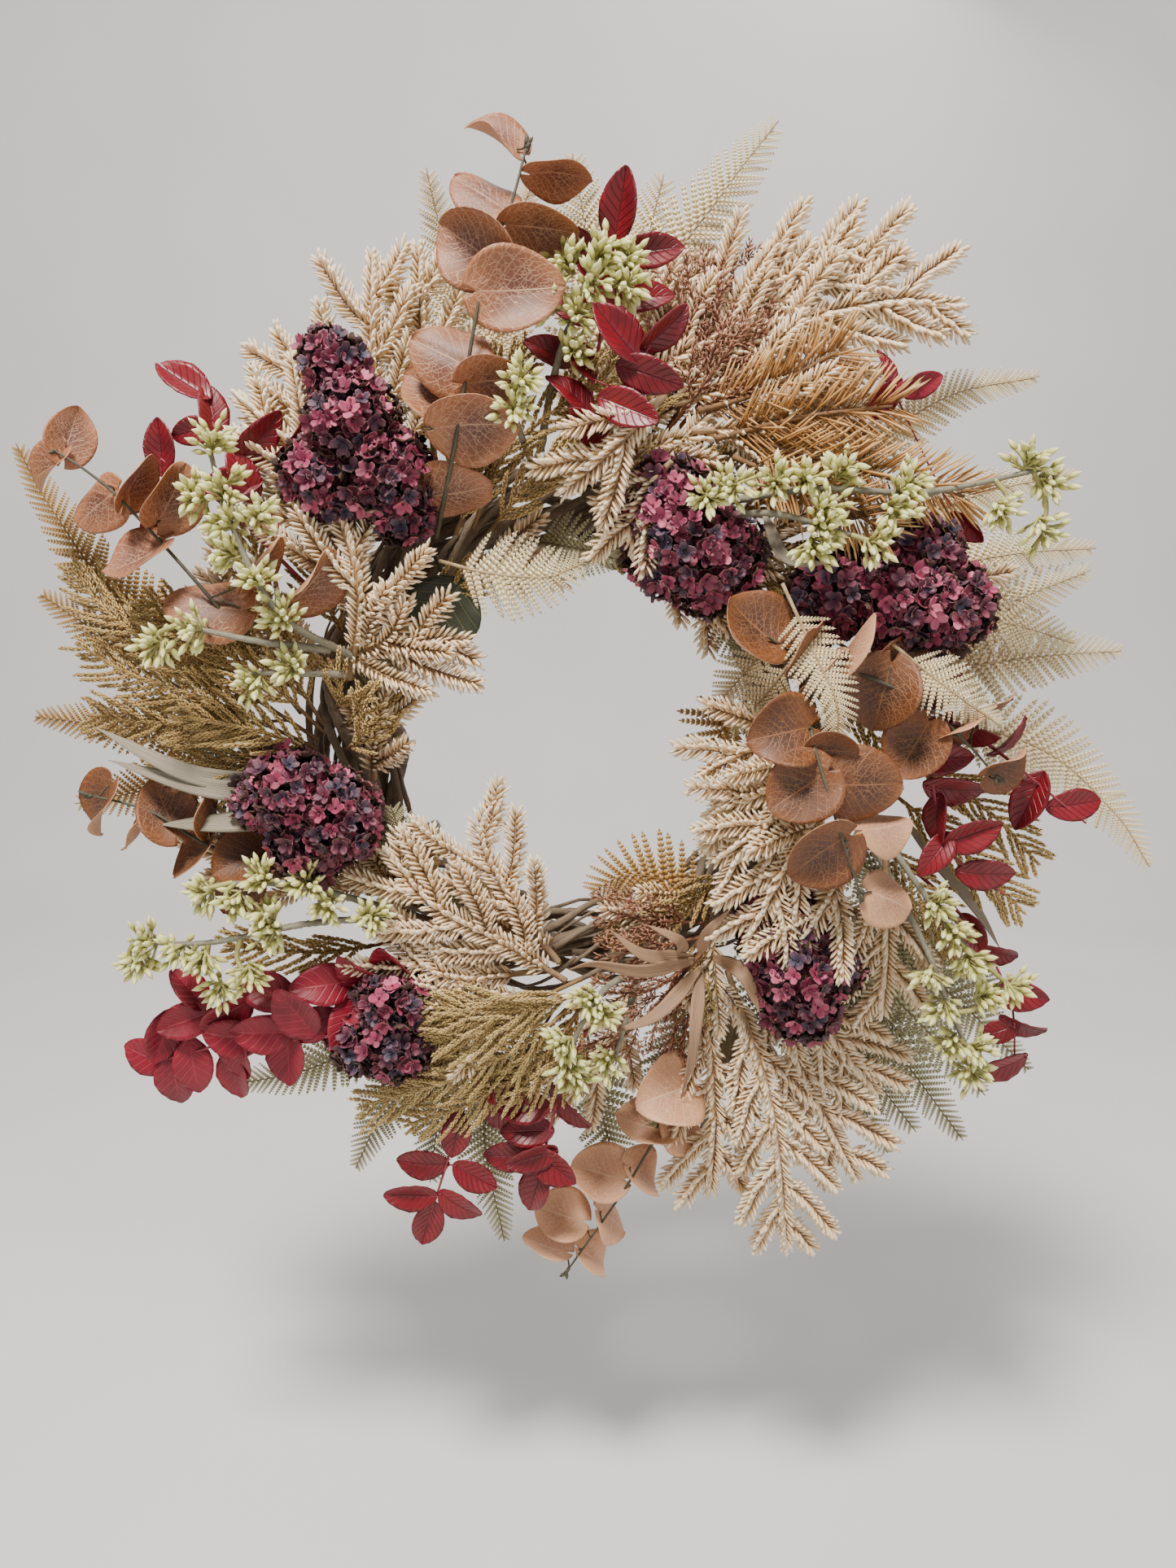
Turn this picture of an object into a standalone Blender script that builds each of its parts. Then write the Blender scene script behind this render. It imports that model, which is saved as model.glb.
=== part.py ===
"""Harvest door wreath: a twisted grapevine ring dressed with dried and artificial sprays.

Run with blender --background --python part.py. Lengths in this file are millimetres and become
metres when a mesh is made. The front of the wreath faces -Y, +Z is up, and the origin is the seat
on the inside of the ring's top, where a hook or a wreath strap carries the whole weight.

A place on the wreath is written (clock, out, front): degrees clockwise from the top as seen from
the front, distance outwards from the ring's middle circle, and distance in front of it.
"""

import itertools
import math

import bpy
from mathutils import Vector
from mathutils.bvhtree import BVHTree

MM = 0.001

# ---- the grapevine ring ----
RING_RADIUS = 130.0  # middle circle of the vine bundle
VINE_RADIUS = 9.0  # one strand
VINE_CLEARANCE = 3.0  # between the core and the strands that wind round it
VINE_ORBIT = 2 * VINE_RADIUS + VINE_CLEARANCE  # middle of an outer strand to the bundle's middle
OUTER_VINES = 4
VINE_TWISTS = 3  # whole turns that an outer strand makes round the bundle
VINE_STATIONS = 48
VINE_SIDES = 6
BUNDLE_RADIUS = VINE_ORBIT + VINE_RADIUS
SEAT_RADIUS = RING_RADIUS - BUNDLE_RADIUS  # inside of the ring, where the hook bears
CENTRE = Vector((0.0, 0.0, -SEAT_RADIUS))
GAP = 0.4  # least clearance between neighbouring pieces
FACE_OF_BUNDLE = 30.0  # the front distance that the tables below give to the bundle's face

# ---- binding wire and the hanging loop at the back ----
WIRE_RADIUS = 0.9
WIRE_CLOCKS = (118.0, 236.0)
WIRE_SIDES = 5
HANGER_RING_RADIUS = VINE_RADIUS + WIRE_RADIUS + 0.6
EYE_RADIUS = 3.4
LOOP_WIRE_RADIUS = 1.0
LOOP_TOP_WIDTH = 18.0
LOOP_WIDTH = 26.0
LOOP_DROP = 30.0
LOOP_AXIS_Y = VINE_ORBIT + HANGER_RING_RADIUS + EYE_RADIUS
LOOP_AXIS_Z = BUNDLE_RADIUS

# ---- sprays ----
# stem: half thickness of the stem. bare: share of a branch without leaves. pitch: spacing of the
# leaves on one side. angle: leaf to stem. length, width, depth: one leaf. paired: both sides at
# once. end_gap: bare stem below the leaf at the tip, in leaf lengths. outline: (share of the
# length, share of the width).
ROUND_LEAF = ((0.14, 0.12), (0.34, 0.8), (0.6, 1.0), (0.86, 0.72), (1.0, 0.25))
POINTED_LEAF = ((0.14, 0.12), (0.38, 0.9), (0.62, 0.95), (1.0, 0.08))
PINNA = ((0.4, 1.0), (1.0, 0.3))
SPINDLE = ((0.27, 0.3), (0.52, 1.0), (0.86, 0.85), (1.0, 0.3))
CORD = ((0.5, 1.0), (1.0, 0.5))
CLUSTER = ((0.35, 0.25), (0.6, 1.0), (1.0, 0.5))
SPECIES = {
    "fern": dict(stem=1.0, bare=0.44, pitch=17, angle=60, length=32, width=11, depth=1.6,
                 paired=True, end_gap=0.0, outline=PINNA),
    "eucalyptus": dict(stem=1.5, bare=0.30, pitch=42, angle=52, length=44, width=34, depth=1.8,
                       paired=False, end_gap=0.62, outline=ROUND_LEAF),
    "red": dict(stem=1.1, bare=0.34, pitch=32, angle=50, length=38, width=19, depth=1.6,
                paired=False, end_gap=0.55, outline=POINTED_LEAF),
    "seeded": dict(stem=1.3, bare=0.36, pitch=26, angle=48, length=26, width=13, depth=10,
                   paired=False, end_gap=0.3, outline=CLUSTER),
    "spruce": dict(stem=2.2, bare=0.34, pitch=26, angle=42, length=38, width=12, depth=7,
                   paired=True, end_gap=0.42, outline=SPINDLE),
    "juniper": dict(stem=1.6, bare=0.34, pitch=20, angle=36, length=30, width=5, depth=4,
                    paired=True, end_gap=0.1, outline=CORD),
    "cedar": dict(stem=1.4, bare=0.36, pitch=18, angle=40, length=26, width=6, depth=2.4,
                  paired=True, end_gap=0.1, outline=CORD),
    "pine": dict(stem=1.4, bare=0.36, pitch=12, angle=40, length=30, width=2.6, depth=2.0,
                 paired=True, end_gap=0.0, outline=PINNA),
    "grass": dict(stem=1.4, bare=0.50, pitch=400, angle=20, length=52, width=12, depth=1.6,
                  paired=False, end_gap=0.0, outline=POINTED_LEAF),
    "lemon": dict(stem=1.2, bare=0.60, pitch=400, angle=20, length=44, width=26, depth=1.8,
                  paired=False, end_gap=0.0, outline=POINTED_LEAF),
}
LEAF_ROOT = 3.6  # length of stem that one leaf grows from
LEAF_LIFT = 0.16  # how far a side leaf's tip stands off the spray's plane, as a share of its length
BRANCH_STATIONS = 4  # sections of a branch before its first leaf

# name, species, root clock, root side of the bundle, then a (middle, tip) for each branch
SPRAYS = (
    ("fern_top_right", "fern", 14, "out",
     (((11, 160, 25), (17, 205, 40)), ((3, 150, 20), (0, 175, 35)))),
    ("fern_top_left", "fern", -22, "out",
     (((-15, 125, 20), (-14, 175, 35)), ((-9, 125, 15), (-4, 165, 25)))),
    ("fern_left", "fern", -78, "out",
     (((-71, 140, 35), (-62, 205, 40)), ((-88, 115, 20), (-87, 170, 30)))),
    ("fern_inner_top", "fern", -30, "front",
     (((-14, -25, 75), (4, -25, 80)),)),
    ("fern_right_upper", "fern", 46, "out",
     (((47, 135, 35), (51, 180, 45)), ((58, 130, 30), (62, 170, 45)))),
    ("fern_right", "fern", 84, "out",
     (((72, 120, 25), (71, 165, 35)), ((91, 135, 30), (101, 205, 35)))),
    ("fern_right_front", "fern", 56, "front",
     (((64, 0, 94), (80, -5, 98)),)),
    ("fern_bottom_inner", "fern", 140, "in",
     (((150, -45, 40), (170, -42, 45)),)),
    ("fern_bottom_right", "fern", 128, "out",
     (((135, 135, 15), (136, 210, 25)), ((124, 130, 20), (126, 205, 25)))),
    ("fern_bottom", "fern", 206, "out",
     (((-167, 125, 15), (-172, 185, 25)), ((-153, 120, 20), (-153, 165, 25)),
      ((-143, 120, 20), (-135, 160, 30)))),
    ("eucalyptus_top", "eucalyptus", -32, "front",
     (((-16, 65, 95), (-5, 165, 76)),)),
    ("eucalyptus_left", "eucalyptus", -80, "front",
     (((-66, 85, 78), (-60, 170, 70)),)),
    ("eucalyptus_left_low", "eucalyptus", -108, "out",
     (((-102, 80, 50), (-96, 130, 55)),)),
    ("eucalyptus_right", "eucalyptus", 76, "front",
     (((92, -5, 112), (112, 25, 108)),)),
    ("eucalyptus_right_outer", "eucalyptus", 90, "front",
     (((86, 50, 84), (92, 88, 80)),)),
    ("eucalyptus_bottom", "eucalyptus", 156, "out",
     (((167, 105, 45), (179, 200, 36)),)),
    ("red_left_top", "red", -54, "front",
     (((-49, 85, 70), (-47, 150, 60)),)),
    ("red_top", "red", 2, "out",
     (((4, 95, 52), (5, 150, 62)),)),
    ("red_top_front", "red", 6, "front",
     (((9, 50, 92), (11, 85, 98)),)),
    ("red_right", "red", 92, "front",
     (((98, 62, 70), (108, 115, 70)), ((90, 95, 62), (97, 155, 56)))),
    ("red_right_low", "red", 108, "out",
     (((115, 110, 48), (125, 190, 46)),)),
    ("red_bottom_left", "red", -142, "front",
     (((-137, 85, 60), (-129, 170, 50)), ((-128, 75, 55), (-122, 145, 50)))),
    ("red_bottom", "red", -170, "out",
     (((-164, 100, 52), (-163, 175, 50)), ((-174, 85, 58), (-175, 145, 54)))),
    ("seeded_left", "seeded", -58, "in",
     (((-57, 40, 106), (-48, 112, 102)), ((-70, 42, 100), (-73, 90, 96)))),
    ("seeded_top", "seeded", -8, "front",
     (((-1, 85, 84), (3, 122, 84)),)),
    ("seeded_right_top", "seeded", 40, "front",
     (((52, 88, 82), (59, 155, 76)), ((43, 60, 90), (41, 105, 90)))),
    ("seeded_bottom_left", "seeded", -126, "front",
     (((-120, 58, 84), (-112, 130, 75)), ((-116, 35, 76), (-108, 46, 76)))),
    ("seeded_right_low", "seeded", 112, "front",
     (((120, 90, 78), (128, 160, 74)),)),
    ("spruce_top_left", "spruce", -34, "out",
     (((-29, 95, 30), (-20, 142, 38)), ((-36, 90, 28), (-38, 130, 38)))),
    ("spruce_left", "spruce", -72, "front",
     (((-52, 22, 68), (-41, 62, 70)), ((-53, 58, 58), (-45, 118, 50)))),
    ("spruce_top_right", "spruce", 24, "out",
     (((30, 100, 50), (38, 170, 52)), ((25, 115, 44), (29, 168, 48)))),
    ("spruce_top_front", "spruce", -6, "front",
     (((2, 10, 86), (10, 25, 94)),)),
    ("spruce_bottom_left", "spruce", -158, "front",
     (((-148, -35, 66), (-122, -25, 70)), ((-150, -55, 58), (-132, -70, 62)))),
    ("spruce_right_low", "spruce", 100, "front",
     (((112, -15, 88), (130, -5, 86)),)),
    ("spruce_bottom", "spruce", 146, "out",
     (((151, 105, 52), (156, 192, 50)), ((145, 105, 56), (146, 178, 50)))),
    ("juniper_left", "juniper", -84, "front",
     (((-80, 50, 58), (-78, 140, 44)),)),
    ("juniper_top", "juniper", -20, "front",
     (((-8, 35, 70), (6, 55, 75)),)),
    ("juniper_bottom", "juniper", 184, "front",
     (((-164, 32, 74), (-149, 110, 60)),)),
    ("cedar_top_right", "cedar", 12, "out",
     (((17, 95, 20), (17, 145, 26)),)),
    ("cedar_bottom", "cedar", 152, "front",
     (((160, 0, 64), (172, -22, 68)), ((163, 50, 54), (170, 100, 50)))),
    ("pine_top_right", "pine", 50, "front",
     (((44, 66, 72), (49, 120, 70)), ((33, 80, 72), (33, 120, 68)))),
    ("grass_bottom", "grass", 144, "front",
     (((152, -20, 80), (166, -32, 86)), ((152, 20, 76), (168, 6, 82)),
      ((150, 38, 70), (161, 40, 76)))),
    ("grass_left", "grass", -98, "out",
     (((-91, 90, 28), (-87, 140, 30)), ((-98, 85, 24), (-94, 130, 26)))),
    ("lemon_leaf", "lemon", -34, "in",
     (((-40, -25, 50), (-48, -20, 52)),)),
)

# name, middle of the head, half width across the clock, half height outwards, half depth
HYDRANGEAS = (
    ("hydrangea_top_left", (-32, 65, 66), 30, 46, 25),
    ("hydrangea_top_right", (28, 2, 66), 38, 42, 26),
    ("hydrangea_right", (65, 62, 66), 32, 40, 25),
    ("hydrangea_left", (-102, 12, 66), 30, 33, 25),
    ("hydrangea_bottom_left", (-146, 58, 60), 30, 26, 22),
    ("hydrangea_bottom_right", (134, 42, 66), 32, 34, 25),
)
HYDRANGEA_STEM = 2.2
HEAD_BUMP = 0.09  # how far the florets break the head's outline, as a share of its size
HEAD_ROWS = 7
HEAD_COLUMNS = 12

# a spray is lifted, spread and turned in these steps until it lies clear of its neighbours
LIFTS = (0, 4, -4, 8, -8, 12, -12, 16, -16, 20, 24, 28)
SPREADS = (0, 7, -7)
TURNS = (0, 2, -2, 4, -4, 6, -6)
FAR_TURNS = TURNS + (8, -8, 10, -10, 13, -13, 16, -16)  # for a spray that has one branch
STAND_OFFS = (0.6, 3.0, 6.0)  # first gap tried between a stem's end and the vine below it
KNEE = 7.0  # a stem rises this far clear of the bundle before it turns

# name: base colour, roughness, metallic
MATERIALS = {
    "vine_bark": ((0.115, 0.062, 0.036), 0.85, 0.0),
    "binding_wire": ((0.10, 0.085, 0.07), 0.45, 1.0),
    "fern_cream": ((0.60, 0.47, 0.29), 0.75, 0.0),
    "eucalyptus_brown": ((0.36, 0.17, 0.085), 0.6, 0.0),
    "red_leaf": ((0.24, 0.018, 0.03), 0.38, 0.0),
    "seed_green": ((0.64, 0.62, 0.34), 0.6, 0.0),
    "spruce_cream": ((0.66, 0.52, 0.34), 0.7, 0.0),
    "juniper_olive": ((0.26, 0.165, 0.055), 0.75, 0.0),
    "cedar_rust": ((0.36, 0.13, 0.06), 0.75, 0.0),
    "pine_gold": ((0.40, 0.22, 0.085), 0.7, 0.0),
    "grass_tan": ((0.42, 0.27, 0.20), 0.65, 0.0),
    "lemon_green": ((0.03, 0.06, 0.014), 0.4, 0.0),
    "hydrangea_plum": ((0.24, 0.045, 0.065), 0.8, 0.0),
}
SPECIES_SLOT = {
    "fern": "fern_cream",
    "eucalyptus": "eucalyptus_brown",
    "red": "red_leaf",
    "seeded": "seed_green",
    "spruce": "spruce_cream",
    "juniper": "juniper_olive",
    "cedar": "cedar_rust",
    "pine": "pine_gold",
    "grass": "grass_tan",
    "lemon": "lemon_green",
}


def outwards(clock):
    angle = math.radians(clock)
    return Vector((math.sin(angle), 0.0, math.cos(angle)))


def place(spot, lift=0.0, turn=0.0):
    """The point at (clock, out, front) on the wreath."""
    clock, out, front = spot
    flat = CENTRE + outwards(clock + turn) * (RING_RADIUS + out)
    return flat + Vector((0.0, -(BUNDLE_RADIUS - FACE_OF_BUNDLE + front + lift), 0.0))


class Solid:
    """A closed mesh grown ring by ring. A ring of a limb runs side-back, side-front, then the same
    on the other side, so that side x front is the limb's own direction."""

    def __init__(self):
        self.points = []
        self.faces = []

    def ring(self, middle, side, front, half_width, half_depth):
        wide, deep = side * half_width, front * half_depth
        first = len(self.points)
        self.points += [middle + wide - deep, middle + wide + deep,
                        middle - wide + deep, middle - wide - deep]
        return [first, first + 1, first + 2, first + 3]

    def bridge(self, low, high, left_open=()):
        for i, j in ((0, 1), (1, 2), (2, 3), (3, 0)):
            if i not in left_open:
                self.faces.append((low[i], low[j], high[j], high[i]))

    def leaf(self, base, start, along, front, spec, scale, curl=0.0):
        """Grows a leaf from the open quad `base` and closes its tip."""
        side = front.cross(along)
        low = base
        for share, width in spec["outline"]:
            middle = start + along * (share * spec["length"] * scale)
            middle = middle + front * (curl * share * share)
            half_width = max(0.4, 0.5 * width * spec["width"] * min(1.0, scale + 0.15))
            half_depth = 0.5 * max(0.8, spec["depth"] * (width if spec["depth"] > 3 else 1.0))
            high = self.ring(middle, side, front, half_width, half_depth)
            self.bridge(low, high)
            low = high
        self.faces.append(tuple(low))

    def sweep(self, path, radius, sides, up):
        """A round wire along a closed path. `up` is any direction that the path never takes."""
        count = len(path)
        for i, point in enumerate(path):
            along = (path[(i + 1) % count] - path[i - 1]).normalized()
            across = along.cross(up(point)).normalized()
            over = across.cross(along)
            size = radius(i) if callable(radius) else radius
            for k in range(sides):
                turn = 2 * math.pi * k / sides
                self.points.append(point + (across * math.cos(turn) + over * math.sin(turn)) * size)
        for i in range(count):
            low, high = i * sides, (i + 1) % count * sides
            for k in range(sides):
                k2 = (k + 1) % sides
                self.faces.append((low + k, low + k2, high + k2, high + k))

    def flip(self):
        self.faces = [tuple(reversed(face)) for face in self.faces]

    def triangles(self):
        """The faces cut up here, so that a mesh and its clearance test bend the same way."""
        return [(face[0], face[k], face[k + 1]) for face in self.faces
                for k in range(1, len(face) - 1)]

    def tree(self):
        return BVHTree.FromPolygons(self.points, self.triangles())


def volume(solid):
    total = 0.0
    for a, b, c in solid.triangles():
        total += solid.points[a].dot(solid.points[b].cross(solid.points[c]))
    return total / 6


# ---- stems and leaves ----


def bend(start, middle, end, count):
    """Points on the curve from start to end that passes through middle."""
    control = middle * 2 - (start + end) * 0.5
    points = []
    for i in range(count):
        t = i / (count - 1)
        points.append(start * (1 - t) ** 2 + control * (2 * t * (1 - t)) + end * t**2)
    return points


def at_length(path, wanted):
    """The point and direction at a distance along a path."""
    for a, b in zip(path, path[1:]):
        step = (b - a).length
        if wanted <= step or b is path[-1]:
            return a + (b - a) * min(1.0, wanted / step), (b - a).normalized()
        wanted -= step
    return path[-1], (path[-1] - path[-2]).normalized()


def path_length(path):
    return sum((b - a).length for a, b in zip(path, path[1:]))


def axes(along, flat_side):
    """The side and front of a limb, turned as little as possible from the spray's own plane."""
    side = (flat_side - along * flat_side.dot(along)).normalized()
    return side, along.cross(side)


def leaf_scale(share):
    """Leaves grow shorter towards the tip, and a little shorter near the first one."""
    return 0.62 + 0.38 * math.sin(math.pi * (0.25 + 0.7 * share))


def branch(solid, base, path, flat_side, spec, fork=None):
    """Grows one branch from the quad `base`. Returns the quad left open for a fork."""
    total = path_length(path)
    first_leaf = spec["bare"] * total
    stops = [first_leaf * i / BRANCH_STATIONS for i in range(1, BRANCH_STATIONS + 1)]
    leaf_starts = []
    reach = total - spec["length"] * (1.0 + spec["end_gap"])
    step = spec["pitch"] if spec["paired"] else spec["pitch"] / 2
    spot = first_leaf
    while spot + LEAF_ROOT < reach:
        leaf_starts.append(len(stops) - 1)
        stops.append(spot + LEAF_ROOT)
        spot += step
        if spot + LEAF_ROOT < reach:
            stops.append(spot)
    tip_start = total - spec["length"]
    if tip_start > stops[-1] + LEAF_ROOT:
        stops.append(tip_start)
    rings = []
    low = base
    opened = {}
    for k, stop in enumerate(stops):
        middle, along = at_length(path, stop)
        side, front = axes(along, flat_side)
        taper = spec["stem"] * (1.0 - 0.35 * stop / total)
        high = solid.ring(middle, side, front, taper, taper)
        rings.append((high, middle, along, side, front))
        left_open = []
        if k - 1 in leaf_starts:
            number = leaf_starts.index(k - 1)
            left_open = [0, 2] if spec["paired"] else [0 if number % 2 else 2]
        if fork is not None and k == 2:
            left_open = left_open + [fork]
            opened["quad"] = (low, high, middle, along, side, front)
        solid.bridge(low, high, left_open)
        if k - 1 in leaf_starts:
            for hand in left_open:
                grow_leaf(solid, rings[k - 1], rings[k], hand, spec, stop / total)
        low = high
    high, middle, along, side, front = rings[-1]
    end_scale = 1.0 if spec["pitch"] > 300 else 0.85
    solid.leaf(high, middle, along, front, spec, end_scale)
    return opened.get("quad")


def grow_leaf(solid, low, high, hand, spec, share):
    below, above = low[0], high[0]
    turn = math.radians(spec["angle"])
    sign = 1.0 if hand == 0 else -1.0
    along, side, front = high[2], high[3], high[4]
    towards = (along * math.cos(turn) + side * (sign * math.sin(turn))).normalized()
    start = (low[1] + high[1]) * 0.5
    if hand == 0:
        quad = [below[0], below[1], above[1], above[0]]
    else:
        quad = [above[3], above[2], below[2], below[3]]
    curl = spec["length"] * LEAF_LIFT * (1 if spec["paired"] else sign)
    solid.leaf(quad, start, towards, front, spec, leaf_scale(share), curl)


def root_direction(clock, side_name):
    if side_name == "front":
        return Vector((0.0, -1.0, 0.0))
    return outwards(clock) * (1.0 if side_name == "out" else -1.0)


def root_point(clock, side_name, vines, stand_off):
    """Where a stem leaves the ring: just clear of the first vine met from outside."""
    middle = CENTRE + outwards(clock) * RING_RADIUS
    away = root_direction(clock, side_name)
    far = middle + away * (BUNDLE_RADIUS * 2)
    nearest = 0.0
    for vine in vines:
        hit = vine.ray_cast(far, -away, BUNDLE_RADIUS * 2)
        if hit[0] is not None:
            nearest = max(nearest, (hit[0] - middle).dot(away))
    return middle + away * (nearest + GAP + stand_off)


def rounded(path):
    """The same path with its corners cut twice."""
    for _ in range(2):
        cut = [path[0]]
        for a, b in zip(path, path[1:]):
            cut += [a.lerp(b, 0.25), a.lerp(b, 0.75)]
        path = cut + [path[-1]]
    return path


def make_spray(species, clock, side_name, branches, vines, lift, spread, turn, stand_off):
    spec = SPECIES[species]
    solid = Solid()
    root = root_point(clock + turn, side_name, vines, stand_off)
    away = root_direction(clock + turn, side_name)
    knee = CENTRE + outwards(clock + turn) * RING_RADIUS + away * (BUNDLE_RADIUS + KNEE)
    middle, tip = branches[0]
    path = rounded([root] + bend(knee, place(middle, lift, turn), place(tip, lift, turn), 9))
    chord = path[-1] - knee
    chord.y = 0.0
    flat_side = Vector((0.0, -1.0, 0.0)).cross(chord).normalized()
    first = (path[1] - path[0]).normalized()
    side, front = axes(first, flat_side)
    start = solid.ring(root, side, front, spec["stem"], spec["stem"])
    solid.faces.append(tuple(reversed(start)))
    grow_forks(solid, start, path, flat_side, spec, branches[1:], lift, spread, turn)
    return solid


def grow_forks(solid, start, path, flat_side, spec, others, lift, spread, turn):
    """Grows the first branch, then each further branch out of its side or its front."""
    if not others:
        branch(solid, start, path, flat_side, spec)
        return
    middle, tip = others[0]
    target = place(tip, lift + spread, turn) - path[0]
    hand = 0 if target.dot(flat_side) > (path[-1] - path[0]).dot(flat_side) else 2
    low, high, centre, along, side, front = branch(solid, start, path, flat_side, spec, fork=hand)
    if hand == 0:
        quad = [low[0], low[1], high[1], high[0]]
    else:
        quad = [high[3], high[2], low[2], low[3]]
    begin = centre - along * 1.0 + side * (spec["stem"] * (1 if hand == 0 else -1))
    second = bend(begin, place(middle, lift + spread, turn), place(tip, lift + spread, turn), 24)
    chord = second[-1] - begin
    chord.y = 0.0
    second_side = Vector((0.0, -1.0, 0.0)).cross(chord).normalized()
    grow_forks(solid, quad, second, second_side, spec, others[1:], lift, spread, turn)


def self_crossing(solid, tree):
    triangles = solid.triangles()
    return any(a < b and not set(triangles[a]) & set(triangles[b]) for a, b in tree.overlap(tree))


def thick_tree(solid):
    """The solid swollen by the clearance, so that a neighbour found clear of it keeps a gap."""
    normals = [Vector() for _ in solid.points]
    for face in solid.faces:
        a, b, c = (solid.points[k] for k in face[:3])
        normal = (b - a).cross(c - a).normalized()
        for k in face:
            normals[k] = normals[k] + normal
    points = [p + n.normalized() * GAP for p, n in zip(solid.points, normals)]
    return BVHTree.FromPolygons(points, solid.triangles())


def settle(name, build, branches, placed):
    """Tries the spray in steps until it lies clear of every piece placed before it. A spray that
    fits nowhere whole loses its last branch and is tried again."""
    for kept in range(len(branches), 0, -1):
        turns = TURNS if kept > 1 else FAR_TURNS
        for turn, spread, stand_off in itertools.product(turns, SPREADS, STAND_OFFS):
            for lift in LIFTS:
                solid = build(branches[:kept], lift, spread, turn, stand_off)
                swollen = thick_tree(solid)
                if any(swollen.overlap(tree) for _, tree in placed):
                    continue
                if not self_crossing(solid, solid.tree()):
                    return solid
    raise RuntimeError(f"{name} finds no clear place")


# ---- the ring, its wires and the hanging loop ----


def ring_frame(angle):
    out = Vector((math.sin(angle), 0.0, math.cos(angle)))
    return CENTRE + out * RING_RADIUS, out


def vine_path(phase):
    points = []
    for i in range(VINE_STATIONS):
        angle = 2 * math.pi * i / VINE_STATIONS
        middle, out = ring_frame(angle)
        wind = VINE_TWISTS * angle + phase
        points.append(middle + out * (VINE_ORBIT * math.cos(wind))
                      + Vector((0.0, VINE_ORBIT * math.sin(wind), 0.0)))
    return points


def made_solid(path, radius, sides, up):
    solid = Solid()
    solid.sweep(path, radius, sides, up)
    if volume(solid) < 0:
        solid.flip()
    return solid


def from_centre(point):
    return (point - CENTRE).normalized()


def core_vine():
    path = [ring_frame(2 * math.pi * i / 40)[0] for i in range(40)]
    return made_solid(path, VINE_RADIUS, VINE_SIDES, lambda p: Vector((0.0, 1.0, 0.0)))


def outer_vine(number):
    """Strand 0 lies innermost at the top of the ring, where the hook bears on it."""
    phase = math.pi + 2 * math.pi * number / OUTER_VINES
    return made_solid(vine_path(phase), VINE_RADIUS, VINE_SIDES, lambda p: Vector((0.0, 1.0, 0.0)))


def circle(middle, a, b, radius, count):
    return [middle + (a * math.cos(2 * math.pi * i / count) + b * math.sin(2 * math.pi * i / count))
            * radius for i in range(count)]


def binding_wire(clock):
    out = outwards(clock)
    middle = CENTRE + out * RING_RADIUS
    across = out.cross(Vector((0.0, 1.0, 0.0)))
    path = circle(middle, out, Vector((0.0, 1.0, 0.0)), BUNDLE_RADIUS + WIRE_RADIUS + 0.6, 24)
    return made_solid(path, WIRE_RADIUS, WIRE_SIDES, lambda p: across)


def hanger_parts():
    """A wire ring round the strand at the back of the ring's top, and the eye that it carries."""
    slope = VINE_TWISTS * VINE_ORBIT / RING_RADIUS
    strand = Vector((1.0, 0.0, -slope)).normalized()
    back = Vector((0.0, 1.0, 0.0))
    around = strand.cross(back).normalized()
    middle = Vector((0.0, VINE_ORBIT, LOOP_AXIS_Z))
    ring = made_solid(circle(middle, around, back, HANGER_RING_RADIUS, 20),
                      WIRE_RADIUS * 0.8, WIRE_SIDES, lambda p: strand)
    eye_middle = Vector((0.0, LOOP_AXIS_Y, LOOP_AXIS_Z))
    x_axis = Vector((1.0, 0.0, 0.0))
    eye = made_solid(circle(eye_middle, back, Vector((0.0, 0.0, 1.0)), EYE_RADIUS, 16),
                     WIRE_RADIUS * 0.8, WIRE_SIDES, lambda p: x_axis)
    return ring, eye


def loop_outline():
    """The hanging loop's middle line, clockwise from the left end of its straight bar."""
    half_top, half = LOOP_TOP_WIDTH / 2, LOOP_WIDTH / 2
    right = [(0.0, 0.0), (half_top - 4, 0.0), (half_top - 1, -0.8), (half_top + 1.2, -3.4),
             (half - 1.0, -8.0), (half, -LOOP_DROP + half)]
    arc = [(half * math.cos(a), -LOOP_DROP + half - half * math.sin(a))
           for a in (math.pi * k / 12 for k in range(1, 12))]
    left = [(-x, z) for x, z in reversed(right[1:])]
    return right + arc + left


def hanging_loop():
    path = [Vector((x, LOOP_AXIS_Y, LOOP_AXIS_Z + z)) for x, z in loop_outline()]
    return made_solid(path, LOOP_WIRE_RADIUS, 6, lambda p: Vector((0.0, 1.0, 0.0)))


# ---- hydrangea heads ----


def head_bump(row, column):
    return 1.0 + HEAD_BUMP * (1 if (row + column) % 2 else -1)


def free_depth(point, vines):
    """How far a stem can go back from the point before it meets a vine."""
    hits = [vine.ray_cast(point, Vector((0.0, 1.0, 0.0)), BUNDLE_RADIUS) for vine in vines]
    return min([hit[3] for hit in hits if hit[0] is not None], default=BUNDLE_RADIUS)


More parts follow.
